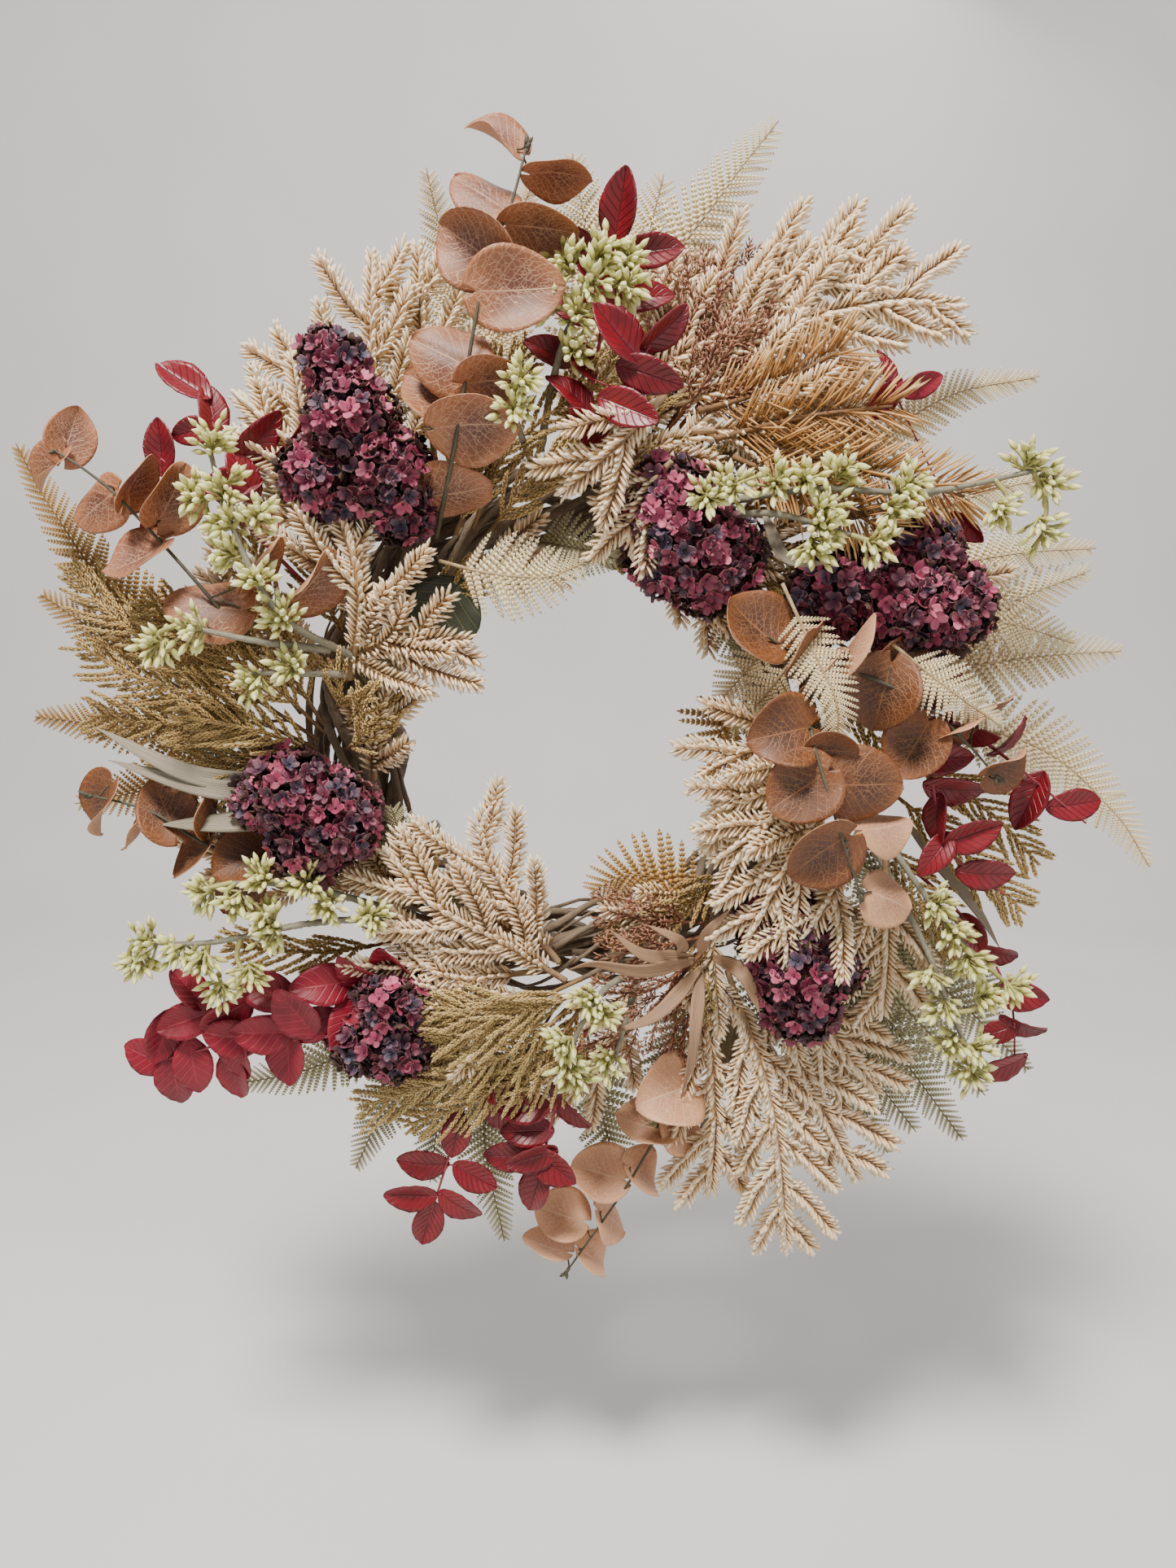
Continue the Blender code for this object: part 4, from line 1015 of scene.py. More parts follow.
# main stems of each spruce piece, and the longest side twig
# name, length of the longest twig, stems
SPRUCES = (
    ("spruce_top_left", 40,
     [[(-36, 20, 36), (-28, 90, 46), (-22, 143, 46)], [(-42, 20, 34), (-36, 85, 42), (-35, 136, 44)],
      [(-26, 40, 34), (-20, 100, 40), (-17, 140, 42)], [(-46, 30, 36), (-42, 70, 44), (-41, 112, 46)]]),
    ("spruce_left", 44,
     [[(-72, -2, 52), (-55, 6, 68), (-46, 30, 72), (-42, 70, 66), (-43, 122, 52)],
      [(-64, -10, 56), (-52, -30, 72), (-42, -46, 76)], [(-60, 0, 56), (-50, 40, 60), (-47, 90, 54)],
      [(-70, 10, 48), (-58, -14, 66), (-47, -12, 76)]]),
    ("spruce_top_right", 38,
     [[(14, 55, 48), (24, 105, 54), (34, 150, 54), (40, 172, 52)],
      [(12, 70, 44), (20, 120, 48), (30, 172, 48)], [(16, 60, 52), (28, 90, 58), (38, 122, 56)],
      [(10, 80, 42), (12, 130, 44)], [(8, 60, 48), (18, 96, 52), (27, 142, 48)],
      [(20, 50, 56), (32, 70, 62), (40, 105, 58)], [(16, 80, 46), (25, 130, 46), (34, 174, 50)]]),
    ("spruce_top_front", 34,
     [[(14, 58, 90), (8, 30, 96), (-1, 8, 92)], [(18, 30, 84), (14, 0, 84), (16, -16, 80)]]),
    ("spruce_bottom_left", 42,
     [[(-178, 2, 56), (-160, -18, 68), (-138, -18, 72), (-118, -16, 70)],
      [(-176, -8, 54), (-158, -40, 64), (-132, -62, 66), (-120, -78, 64)],
      [(-170, 0, 52), (-150, 14, 66), (-130, 16, 62)],
      [(-178, 12, 54), (-160, 30, 62), (-146, 60, 60)]]),
    ("spruce_right_low", 38,
     [[(88, 4, 72), (98, -24, 80), (112, -50, 80)], [(94, 4, 74), (106, -18, 84), (124, -36, 84)],
      [(98, 10, 76), (116, -4, 88), (136, 6, 86)], [(104, 30, 70), (120, 26, 84), (134, 30, 84)],
      [(84, -4, 64), (88, -36, 72), (96, -58, 74)], [(108, 50, 64), (120, 70, 68), (130, 98, 62)]]),
    ("spruce_bottom", 40,
     [[(146, 30, 36), (151, 105, 58), (157, 194, 54)], [(140, 30, 38), (145, 105, 52), (147, 176, 48)],
      [(152, 35, 36), (159, 100, 48), (163, 148, 46)], [(136, 35, 40), (138, 90, 50), (139, 140, 44)]]),
)

# name, look, length of the longest twig, stems
JUNIPERS = (
    ("juniper_left", "juniper", 26,
     [[(-88, 12, 44), (-78, 60, 60), (-74, 120, 56), (-70, 158, 44)],
      [(-90, 12, 46), (-82, 60, 62), (-80, 110, 56), (-78, 148, 42)],
      [(-92, 12, 44), (-86, 60, 58), (-86, 110, 52), (-86, 140, 42)],
      [(-94, 12, 42), (-91, 50, 56), (-93, 100, 50)], [(-84, 8, 50), (-73, 30, 66), (-67, 75, 66)],
      [(-86, 8, 48), (-77, 30, 70), (-72, 70, 72), (-70, 110, 62)],
      [(-92, 6, 50), (-86, 30, 68), (-84, 76, 70)], [(-96, 8, 40), (-94, 36, 60), (-96, 72, 60)],
      [(-80, 2, 52), (-75, -2, 66), (-68, 8, 72)], [(-84, -2, 50), (-80, -12, 62), (-72, -14, 70)],
      [(-90, -4, 50), (-86, -14, 60), (-80, -18, 66)]]),
    ("juniper_top", "juniper", 22,
     [[(-24, 0, 56), (-12, 30, 74), (2, 56, 78), (9, 66, 76)],
      [(-26, 4, 54), (-16, 40, 70), (-8, 66, 74)], [(-22, -6, 56), (-10, 10, 74), (2, 30, 82)],
      [(-28, 2, 54), (-20, 20, 70), (-16, 50, 78)], [(-24, 10, 52), (-14, 50, 66), (-6, 80, 68)]]),
    ("juniper_bottom", "pale_juniper", 24,
     [[(176, 4, 56), (-172, 30, 74), (-160, 66, 70), (-149, 112, 60)],
      [(178, 0, 58), (-168, 12, 76), (-156, 36, 74), (-146, 66, 66)],
      [(176, 10, 54), (-174, 44, 68), (-164, 80, 64), (-156, 112, 56)],
      [(174, 2, 56), (-174, 10, 74), (-160, 20, 78), (-148, 36, 70)],
      [(176, 14, 52), (-178, 46, 66), (-170, 76, 66)], [(178, 6, 58), (-166, 24, 78), (-154, 50, 74)]]),
    ("cedar_top_right", "cedar", 24,
     [[(14, 40, 40), (15, 95, 54), (16, 140, 48)], [(16, 44, 42), (19, 95, 56), (21, 145, 48)],
      [(12, 50, 36), (13, 90, 50), (13, 132, 44)], [(18, 50, 46), (22, 85, 58), (25, 122, 54)],
      [(16, 44, 44), (20, 80, 60), (22, 110, 58)]]),
    ("cedar_bottom", "cedar", 22,
     [[(146, 0, 50), (162, -14, 66), (172, -22, 68)], [(150, 10, 50), (162, 10, 66), (174, 6, 66)],
      [(150, 16, 44), (159, 48, 50), (164, 78, 42)], [(148, 8, 50), (166, 28, 62), (178, 50, 60)],
      [(144, -6, 48), (158, -28, 58), (170, -40, 56)]]),
    ("juniper_right", "juniper", 24,
     [[(96, 40, 40), (104, 90, 56), (110, 140, 54)], [(92, 50, 36), (98, 100, 48), (104, 140, 48)],
      [(104, 40, 40), (112, 80, 54), (118, 120, 50)]]),
)
JUNIPER_SLOT = {"juniper": "juniper_olive", "pale_juniper": "juniper_olive", "cedar": "cedar_rust"}

# name, look, a leaf's width over its length, size of its leaves, stems, leaves
# A leaf is (clock, out, front, length, tilt).
EUCALYPTUS = (
    ("eucalyptus_top", "round", 0.94, 0.92,
     [[(-32, 5, 60), (-20, 38, 92), (-12, 90, 97), (-9, 118, 92), (-6, 142, 86), (-4, 170, 78)]],
     [(-7, 176, 80, 32, 58), (-1, 157, 80, 33, 50), (-9, 151, 84, 36, 20), (-3, 130, 90, 38, 25),
      (-11, 126, 94, 42, 0), (-6, 101, 100, 46, 0), (-17, 80, 98, 42, 0), (-11, 62, 102, 34, 30),
      (-20, 68, 88, 42, 10), (-15, 44, 102, 44, 10), (-23, 18, 86, 40, 30)]),
    ("eucalyptus_left", "round", 0.92, 0.94,
     [[(-82, 20, 52), (-66, 72, 78), (-60, 130, 78), (-59, 155, 76), (-59, 180, 70)]],
     [(-61, 178, 70, 30, 48), (-57, 176, 70, 30, 30), (-62, 147, 76, 34, 10), (-57, 134, 80, 32, 66),
      (-56, 113, 84, 36, 68), (-65, 115, 84, 38, 30), (-67, 76, 84, 44, 10), (-57, 60, 84, 34, 66),
      (-55, 32, 82, 40, 45)]),
    ("eucalyptus_left_low", "round_dark", 1.0, 0.95,
     [[(-112, 20, 40), (-106, 70, 58), (-98, 105, 58), (-95, 140, 55)]],
     [(-97, 135, 55, 38, 72), (-98, 98, 60, 36, 20), (-98, 68, 64, 36, 72), (-106, 90, 62, 32, 50),
      (-108, 63, 66, 36, 10), (-101, 118, 56, 28, 56), (-113, 78, 56, 32, 30)]),
    ("eucalyptus_right", "round_dark", 1.1, 0.84,
     [[(74, 0, 72), (82, -8, 104), (92, -4, 114), (103, 8, 116), (114, 32, 110)]],
     [(80, -24, 114, 42, 10), (95, -16, 118, 42, 10), (93, 20, 114, 44, 0), (109, 2, 118, 44, 0),
      (101, 34, 108, 32, 130), (113, 50, 108, 34, 165), (70, 10, 98, 36, 60), (86, 2, 112, 30, 30)]),
    ("eucalyptus_right_outer", "round_dark", 1.06, 0.84,
     [[(66, 0, 60), (72, 22, 84), (80, 52, 88), (88, 78, 84), (93, 96, 78)],
      [(62, -2, 62), (60, -8, 92), (56, -12, 98)]],
     [(78, 33, 92, 44, 0), (85, 76, 86, 34, 40), (84, 94, 78, 34, 58), (88, 48, 88, 40, 45),
      (91, 102, 78, 34, 55), (52, -14, 100, 44, 20), (64, 6, 100, 40, 50), (66, 26, 98, 42, 64),
      (73, 50, 84, 34, 30)]),
    ("eucalyptus_bottom", "round_pale", 1.1, 1.0,
     [[(156, 30, 28), (163, 80, 44), (172, 130, 44), (-179, 200, 36)]],
     [(165, 76, 66, 40, 10), (170, 100, 50, 34, 58), (164, 110, 48, 31, -56), (177, 132, 42, 33, 60),
      (171, 139, 40, 30, -60), (-178, 162, 38, 31, 58), (175.5, 168, 36, 29, -60),
      (-176.5, 188, 32, 29, 62), (178, 195, 34, 27, -64)]),
)

# name, look, a leaf's width as a share of the usual, stems, leaves
RED = (
    ("red_left_top", "red", 1.0,
     [[(-56, 30, 46), (-50, 85, 68), (-47, 120, 66), (-45, 150, 58)],
      [(-58, 40, 46), (-54, 90, 66), (-54, 138, 60)]],
     [(-46, 146, 60, 34, 20), (-46, 126, 64, 32, 30), (-44, 98, 70, 34, 10), (-53, 136, 60, 30, 0),
      (-49, 126, 64, 28, 0), (-49, 92, 72, 30, 40), (-51, 94, 68, 32, 0), (-56, 104, 66, 28, 30),
      (-42, 86, 66, 26, 50), (-60, 118, 62, 26, 0)]),
    ("red_top", "red", 1.0,
     [[(2, 35, 36), (4, 95, 54), (5, 150, 62)]],
     [(5, 146, 64, 36, 0), (9, 128, 62, 32, 20), (0, 128, 60, 32, 10), (3, 108, 62, 30, 30),
      (9, 106, 60, 30, 0), (0, 98, 58, 28, 10), (5, 120, 60, 28, 40), (-3, 76, 70, 28, 20)]),
    ("red_top_front", "red", 1.0,
     [[(2, 20, 60), (6, 46, 92), (9, 66, 98), (12, 92, 98)]],
     [(6, 80, 98, 36, 30), (12, 86, 100, 30, 50), (11, 64, 100, 34, 20), (9, 47, 100, 34, 0),
      (3, 38, 92, 30, 0), (0, 54, 84, 30, 20), (1, 70, 80, 26, 40)]),
    ("red_right", "red", 1.0,
     [[(84, 40, 48), (90, 58, 68), (97, 66, 72), (104, 78, 72), (108, 118, 70)],
      [(82, 60, 44), (89, 96, 62), (98, 156, 56)]],
     [(85, 58, 70, 34, 20), (90, 65, 72, 36, 10), (95, 76, 72, 36, 10), (101, 88, 74, 34, 0),
      (105, 72, 76, 30, 20), (106, 104, 72, 34, 0), (96, 122, 58, 36, 10), (96, 148, 56, 34, 0),
      (100, 68, 74, 30, 30), (86, 84, 66, 34, 40), (88, 106, 60, 30, 60), (80, 70, 62, 32, 30)]),
    ("red_right_low", "red", 1.0,
     [[(108, 60, 40), (114, 115, 50), (120, 160, 48), (126, 190, 44)]],
     [(119, 162, 50, 34, 0), (122, 178, 46, 32, 20), (127, 184, 46, 34, 0), (115, 120, 50, 28, 10),
      (116, 140, 48, 28, 30), (124, 168, 46, 26, 10)]),
    ("red_bottom_left", "red_dusty", 1.18,
     [[(-150, 20, 44), (-138, 70, 62), (-131, 120, 62), (-127, 176, 50)],
      [(-144, 25, 46), (-131, 75, 62), (-124, 156, 50)]],
     [(-139, 25, 66, 36, 10), (-136, 42, 66, 38, 0), (-133, 60, 68, 38, 10), (-133, 82, 70, 38, 0),
      (-132, 105, 70, 36, 0), (-130, 122, 66, 36, 10), (-125, 140, 58, 34, 10), (-132, 128, 62, 36, 0),
      (-130, 156, 57, 36, 0), (-137, 108, 62, 36, 10), (-140, 68, 68, 34, 20), (-130, 174, 50, 36, 0),
      (-125, 160, 52, 34, 0), (-128, 90, 62, 36, 20), (-136, 84, 66, 34, 0), (-127, 116, 62, 34, 0),
      (-134, 142, 56, 34, 10), (-126, 178, 48, 34, 20), (-142, 46, 66, 32, 20),
      (-122, 128, 56, 30, 30)]),
    ("red_bottom", "red", 1.1,
     [[(-168, 30, 34), (-163, 90, 54), (-163, 130, 54), (-163, 172, 48)],
      [(176, 30, 34), (-177, 80, 58), (-175, 142, 54)]],
     [(-166, 66, 62, 30, 30), (-163, 106, 58, 30, 10), (-160, 132, 54, 32, 0), (-160, 154, 52, 32, 0),
      (-167, 130, 56, 30, 10), (-166, 152, 54, 30, 0), (-163, 170, 48, 32, 0), (-172, 80, 60, 32, 0),
      (-171, 112, 58, 32, 0), (-174, 108, 62, 32, 0), (-179, 76, 62, 34, 20), (-173, 94, 60, 32, 30),
      (-177, 114, 60, 34, 0), (-175, 132, 56, 34, 30), (-169, 90, 56, 30, 20), (-170, 66, 60, 28, 40)]),
    ("red_top_right", "red_dusty", 1.0,
     [[(38, 50, 40), (40, 90, 56), (43, 140, 58)]],
     [(41, 114, 60, 25, 10), (43, 132, 58, 25, 20), (39, 126, 58, 22, 40), (60, 112, 50, 24, 30)]),
)

# name, stems, places of the clusters
SEEDED = (
    ("seeded_left",
     [[(-66, 0, 60), (-62, 36, 98), (-54, 76, 100), (-48, 108, 96)],
      [(-66, 10, 70), (-68, 40, 98), (-70, 80, 96)], [(-70, -2, 66), (-72, 20, 88), (-74, 40, 90)]],
     [(-54, 100, 98), (-47, 108, 96), (-50, 66, 106), (-58, 52, 106), (-70, 74, 98), (-70, 22, 94),
      (-50, 88, 102), (-58, 72, 100), (-74, 90, 94), (-62, 34, 100), (-76, 40, 90), (-54, 82, 98)]),
    ("seeded_top",
     [[(-6, 30, 56), (-2, 70, 78), (3, 122, 84)], [(-8, 26, 60), (-9, 44, 92), (-8, 62, 100)]],
     [(-1, 116, 86), (4, 122, 84), (7, 104, 86), (1, 92, 88), (-7, 60, 106), (-3, 100, 84), (3, 106, 88),
      (7, 118, 80), (-9, 48, 104), (1, 74, 84)]),
    ("seeded_right_top",
     [[(24, 10, 60), (40, 50, 90), (52, 92, 88), (58, 150, 78)],
      [(28, 10, 64), (38, 30, 94), (50, 50, 96)], [(22, 4, 60), (30, 26, 92)]],
     [(30, 32, 98), (39, 54, 98), (48, 30, 102), (54, 58, 100), (60, 120, 86), (56, 148, 80),
      (64, 136, 80), (44, 50, 102), (50, 90, 92), (47, 42, 102), (35, 44, 98), (60, 150, 76),
      (42, 70, 94), (52, 72, 98), (26, 20, 94)]),
    ("seeded_bottom_left",
     [[(-136, 0, 54), (-122, 40, 80), (-117, 90, 82), (-113, 134, 72)],
      [(-132, 4, 58), (-116, 30, 78), (-110, 64, 82)]],
     [(-113, 126, 76), (-113, 68, 86), (-110, 48, 86), (-119, 102, 82), (-124, 82, 86), (-121, 24, 86),
      (-128, 8, 82), (-116, 112, 78), (-116, 54, 88), (-120, 60, 86), (-110, 84, 82), (-124, 104, 76),
      (-114, 26, 86), (-116, 138, 72)]),
    ("seeded_right_low",
     [[(106, 40, 50), (118, 86, 78), (124, 120, 78), (128, 156, 74)],
      [(104, 44, 52), (113, 84, 76), (116, 110, 78)]],
     [(115, 98, 82), (118, 116, 80), (125, 116, 80), (126, 150, 76), (112, 84, 80), (120, 134, 78),
      (128, 134, 76), (122, 98, 82), (129, 158, 72), (118, 146, 74)]),
    ("seeded_bottom",
     [[(164, 0, 56), (174, 2, 80), (-178, 40, 80)], [(164, 4, 56), (172, 40, 74)]],
     [(177, 2, 86), (-179, 44, 80), (174, 42, 80), (-177, 28, 84), (173, 14, 86), (179, 54, 74)]),
)

# name, blobs: each a place, then its half sizes across the clock, outwards and forwards
HEADS = (
    ("hydrangea_top_left",
     [(-31, 100, 66, 15, 20, 20), (-33, 74, 70, 22, 22, 26), (-42, 62, 66, 18, 22, 22),
      (-33, 42, 70, 23, 22, 26), (-35, 24, 66, 15, 14, 18)]),
    ("hydrangea_top_right",
     [(20, 8, 68, 24, 24, 26), (29, -6, 72, 26, 26, 28), (37, -4, 68, 20, 26, 24),
      (24, -12, 64, 20, 20, 22)]),
    ("hydrangea_right",
     [(58, 34, 66, 22, 24, 22), (64, 62, 68, 26, 26, 26), (68, 82, 66, 22, 22, 22),
      (60, 78, 62, 20, 22, 22)]),
    ("hydrangea_left",
     [(-97, 22, 70, 22, 22, 25), (-104, 2, 70, 24, 22, 25), (-108, 22, 68, 22, 19, 22),
      (-98, 40, 64, 15, 16, 18)]),
    ("hydrangea_bottom_left",
     [(-144, 42, 64, 20, 18, 22), (-148, 64, 64, 22, 20, 22), (-144, 76, 60, 18, 16, 18)]),
    ("hydrangea_bottom_right",
     [(130, 16, 66, 22, 22, 24), (134, 40, 70, 25, 24, 26), (138, 60, 66, 20, 20, 22),
      (130, 56, 62, 18, 18, 20)]),
)

# name, length of a needle, stems
PINES = (
    ("pine_top_right", 29,
     [[(26, 56, 60), (38, 66, 74), (49, 88, 76), (56, 112, 70)],
      [(20, 60, 56), (27, 80, 64), (33, 116, 66)], [(24, 50, 62), (34, 80, 72), (42, 112, 68)],
      [(28, 46, 62), (42, 54, 76), (52, 66, 78)]]),
)

# name, look, blades: each a path and a width
GRASS = (
    ("grass_bottom", "grass",
     [([(150, 6, 60), (162, -8, 82), (174, -18, 84), (-179, -14, 80)], 10),
      ([(150, 4, 60), (160, -16, 82), (168, -36, 84)], 9),
      ([(150, 12, 60), (162, 20, 78), (172, 26, 76)], 9),
      ([(150, 14, 58), (156, 36, 76), (160, 64, 74)], 9),
      ([(146, 10, 60), (142, 20, 80), (144, 44, 82)], 10),
      ([(152, 0, 60), (150, -16, 82), (156, -32, 84)], 8),
      ([(148, 4, 60), (142, -12, 84), (133, -14, 86)], 8),
      ([(150, 12, 58), (158, 50, 66), (163, 80, 62)], 8)]),
    ("grass_left", "grey_grass",
     [([(-97, 18, 52), (-93, 72, 69), (-87, 132, 54)], 12),
      ([(-99, 20, 52), (-95, 66, 71), (-91, 124, 56)], 12),
      ([(-103, 28, 52), (-101, 60, 69), (-100, 102, 58)], 13),
      ([(-104, 24, 36), (-104, 60, 46), (-105, 100, 40)], 9),
      ([(-96, 20, 40), (-86, 60, 50), (-80, 100, 40)], 8)]),
    ("grass_low", "grey_grass",
     [([(150, 60, 20), (160, 110, 28), (167, 150, 24)], 10),
      ([(150, 60, 20), (156, 120, 26), (158, 165, 22)], 9),
      ([(148, 60, 22), (148, 120, 26), (146, 160, 22)], 8),
      ([(104, 70, 24), (112, 120, 30), (116, 150, 26)], 9),
      ([(44, 40, 60), (50, 70, 76), (54, 104, 74)], 7),
      ([(38, 30, 70), (46, 20, 90), (52, 36, 96)], 7)]),
)


# sprigs that close the gaps which the low ones leave
FILL_SPRUCE = (
    [(144, 6, 34), (149, 28, 42), (153, 56, 44)], [(-130, -8, 38), (-123, 4, 48), (-116, 22, 50)],
    [(6, 6, 40), (14, 34, 52), (24, 54, 54)], [(120, 4, 40), (128, 40, 46), (134, 70, 44)],
    [(34, -4, 40), (42, 16, 50), (50, 30, 52)], [(48, 10, 36), (56, 40, 44), (62, 70, 46)],
    [(-112, 40, 30), (-108, 76, 38), (-103, 104, 36)],
)
FILL_JUNIPER = (
    [(36, 4, 40), (44, 26, 50), (54, 44, 54)], [(42, 0, 36), (50, 14, 46), (60, 20, 48)],
    [(142, -4, 34), (151, 18, 42), (158, 46, 44)], [(-136, -10, 40), (-125, 0, 46), (-114, 6, 50)],
    [(6, -6, 40), (16, 20, 52), (27, 44, 56)], [(4, 20, 40), (10, 50, 50), (17, 76, 50)],
    [(68, -6, 40), (78, -12, 50), (88, -14, 52)], [(74, 10, 40), (84, 30, 52), (92, 40, 54)],
    [(-66, 6, 34), (-58, 30, 46), (-52, 56, 48)],
)


def sprays(table, seed):
    """The name, a pile of its own and the rest of each row of a table."""
    for number, (name, *row) in enumerate(table):
        yield name, Pile(seed + number), row


def make_ferns():
    for name, pile, (look, reach, stems) in sprays(FERNS, 100):
        for stem in stems:
            frond(pile, stem, reach)
        pile.spray(name, [look, look + "_stem"], "fern_cream")


def make_spruces():
    for name, pile, (reach, stems) in sprays(SPRUCES, 200):
        for stem in stems:
            spruce_branch(pile, stem, reach)
        pile.spray(name, ["spruce", "spruce_stem"], "spruce_cream")


def make_junipers():
    for name, pile, (look, reach, stems) in sprays(JUNIPERS, 300):
        for stem in stems:
            if look == "cedar":
                plume(pile, stem, reach, 7.5, 36, 5.2, 1.2, THIN_NEEDLE, 0.24, forks=True, spread=30)
            else:
                plume(pile, stem, reach, 3.7, 32, 3.2, 0.52, SCALE, 0.56)
        pile.spray(name, [look, look + "_stem"], JUNIPER_SLOT[look])


def make_pines():
    for name, pile, (length, stems) in sprays(PINES, 350):
        for stem in stems:
            path = route(stem)
            pile.tube(path, np.linspace(1.8, 0.9, len(path)), 6, ripple=0.1)
            needled(pile, path, 0.62, length, 1.6, 50, flat=0.26, start=0.1, shade=0.6, end_spread=0.55)
        pile.spray(name, ["pine", "pine_stem"], "pine_gold")


def make_eucalyptus():
    for name, pile, (look, broad, scale, stems, leaves) in sprays(EUCALYPTUS, 400):
        leafy(pile, stems, leaves, ROUND_LEAVES, broad, 1.3, 26, behind=6.0, pitch=1.3, scale=scale)
        tip, way = at(route(stems[0]), [1.0])
        for k in range(7):  # the shoot at the stem's tip
            lean = unit(way[0] + pile.rng.uniform(-0.7, 0.7, 3))
            base = tip[0] - way[0] * k * 0.8
            pile.add(BUD, frames(base, lean[None, :], FRONT, 4.5, 5, 5), 0.4, finish=STEM)
        pile.spray(name, [look, "round_stem", "round_under"], "eucalyptus_brown")


def make_red_leaves():
    for name, pile, (look, broad, stems, leaves) in sprays(RED, 450):
        leafy(pile, stems, leaves, RED_LEAVES, broad, 1.25, 26)
        pile.spray(name, [look, "red_stem", "red_under"], "red_leaf")


def make_seeded():
    for name, pile, (stems, clusters) in sprays(SEEDED, 500):
        seed_clusters(pile, stems, clusters)
        pile.spray(name, ["bud", "bud_stem", "bud_stalk"], "seed_green")


def make_heads():
    for name, pile, (blobs,) in sprays(HEADS, 600):
        floret_head(pile, blobs)
        root_clock, root_out = blobs[0][:2]
        for clock, out, front, *_ in blobs:
            stalk = route([(root_clock, root_out * 0.4, 26), (clock, out, 44), (clock, out, front)])
            pile.tube(stalk, np.linspace(2.2, 1.2, len(stalk)), 6, finish=UNDER)
        pile.spray(name, ["petal", "petal_heart", "head_stem"], "hydrangea_plum")


def make_grass():
    for name, pile, (look, blades) in sprays(GRASS, 700):
        for places, width in blades:
            ribbon(pile, places, width, pile.rng.uniform(-1.2, 1.2), pile.rng.uniform(0.2, 0.8))
        pile.spray(name, [look], "grass_tan")


def make_lemon_leaf():
    pile = Pile(720)
    leafy(pile, [[(-36, 0, 30), (-38, -22, 48), (-44, -30, 50)]], [(-44, -28, 52, 46, 0)],
          [pointed_leaf(0.06, -0.1, 1)], 1.7, 1.2, 5)
    pile.spray("lemon_leaf", ["lemon", "round_stem", "lemon"], "lemon_green")


def vine_path(start, sweep, orbit, phase, twists):
    """A twig that winds round the bundle for part of the ring or a little more than once."""
    count = max(20, int(abs(sweep) * 60))
    turn = start + np.linspace(0, sweep, count)
    wander = orbit * (1 + 0.16 * np.sin(3.1 * turn + phase * 2) + 0.09 * np.sin(7.3 * turn + phase))
    wander = np.minimum(wander, 27.5)  # stays inside the bundle
    wind = phase + twists * turn
    reach = RING_RADIUS + wander * np.cos(wind) + 1.2 * np.sin(11 * turn + phase)
    depth = wander * np.sin(wind)
    return CENTRE + np.column_stack([reach * np.sin(turn), depth, reach * np.cos(turn)])


def make_vines():
    """Thick twigs at several distances from the bundle's middle, and short tendrils outside."""
    twigs, tendrils, orbits, widest = 26, 14, (5, 13, 19, 23, 26), 27
    pile = Pile(800)
    for k in range(twigs):
        orbit = orbits[k % len(orbits)]
        sweep = pile.rng.uniform(4.2, 7.4)
        path = vine_path(pile.rng.uniform(0, 6.28), sweep, orbit, k * GOLDEN, pile.rng.choice([2, 3, 3, 4]))
        thick = pile.rng.uniform(2.0, 4.2)
        radii = thick * (1 - 0.45 * np.linspace(0, 1, len(path))) * (
            1 + 0.12 * np.sin(np.arange(len(path)) * 0.31 + k))
        pile.tube(path, radii, 8, finish=0, shade=pile.rng.uniform(0, 1), ripple=0.1)
    for k in range(tendrils):
        start = pile.rng.uniform(0, 6.28)
        path = vine_path(start, pile.rng.uniform(0.4, 0.9), widest, k * 1.7, 5)
        pile.tube(path, np.linspace(1.3, 0.5, len(path)), 5, finish=0, ripple=0.1)
    pile.piece("look_vine_ring", ["vine"], "vine_bark",
               ["vine_core"] + [f"vine_strand_{k}" for k in range(1, 5)])


def circle(middle, first, second, radius, count, turns=1.0, pitch=(0.0, 0.0, 0.0)):
    """Turns of wire from the first direction towards the second, each the pitch further on."""
    angle = np.linspace(0, 2 * math.pi * turns, count)
    ring = (np.outer(np.cos(angle), first) + np.outer(np.sin(angle), second)) * radius + middle
    return ring + np.outer(angle / (2 * math.pi), pitch)


def make_wires():
    """Over two turns of wire round the bundle, in two places."""
    bundle, turns, pitch, wire = 31.5, 2.6, 2.0, 0.9
    for number, clock in enumerate((118.0, 236.0), 1):
        pile = Pile(820 + number)
        turn = math.radians(clock)
        out = np.array([math.sin(turn), 0, math.cos(turn)])
        across = np.array([math.cos(turn), 0, -math.sin(turn)])
        middle = CENTRE + out * RING_RADIUS - across * 2.5
        pile.tube(circle(middle, out, BACK, bundle, 120, turns, across * pitch), wire, 8, finish=0)
        pile.spray(f"binding_wire_{number}", ["wire"], "binding_wire")


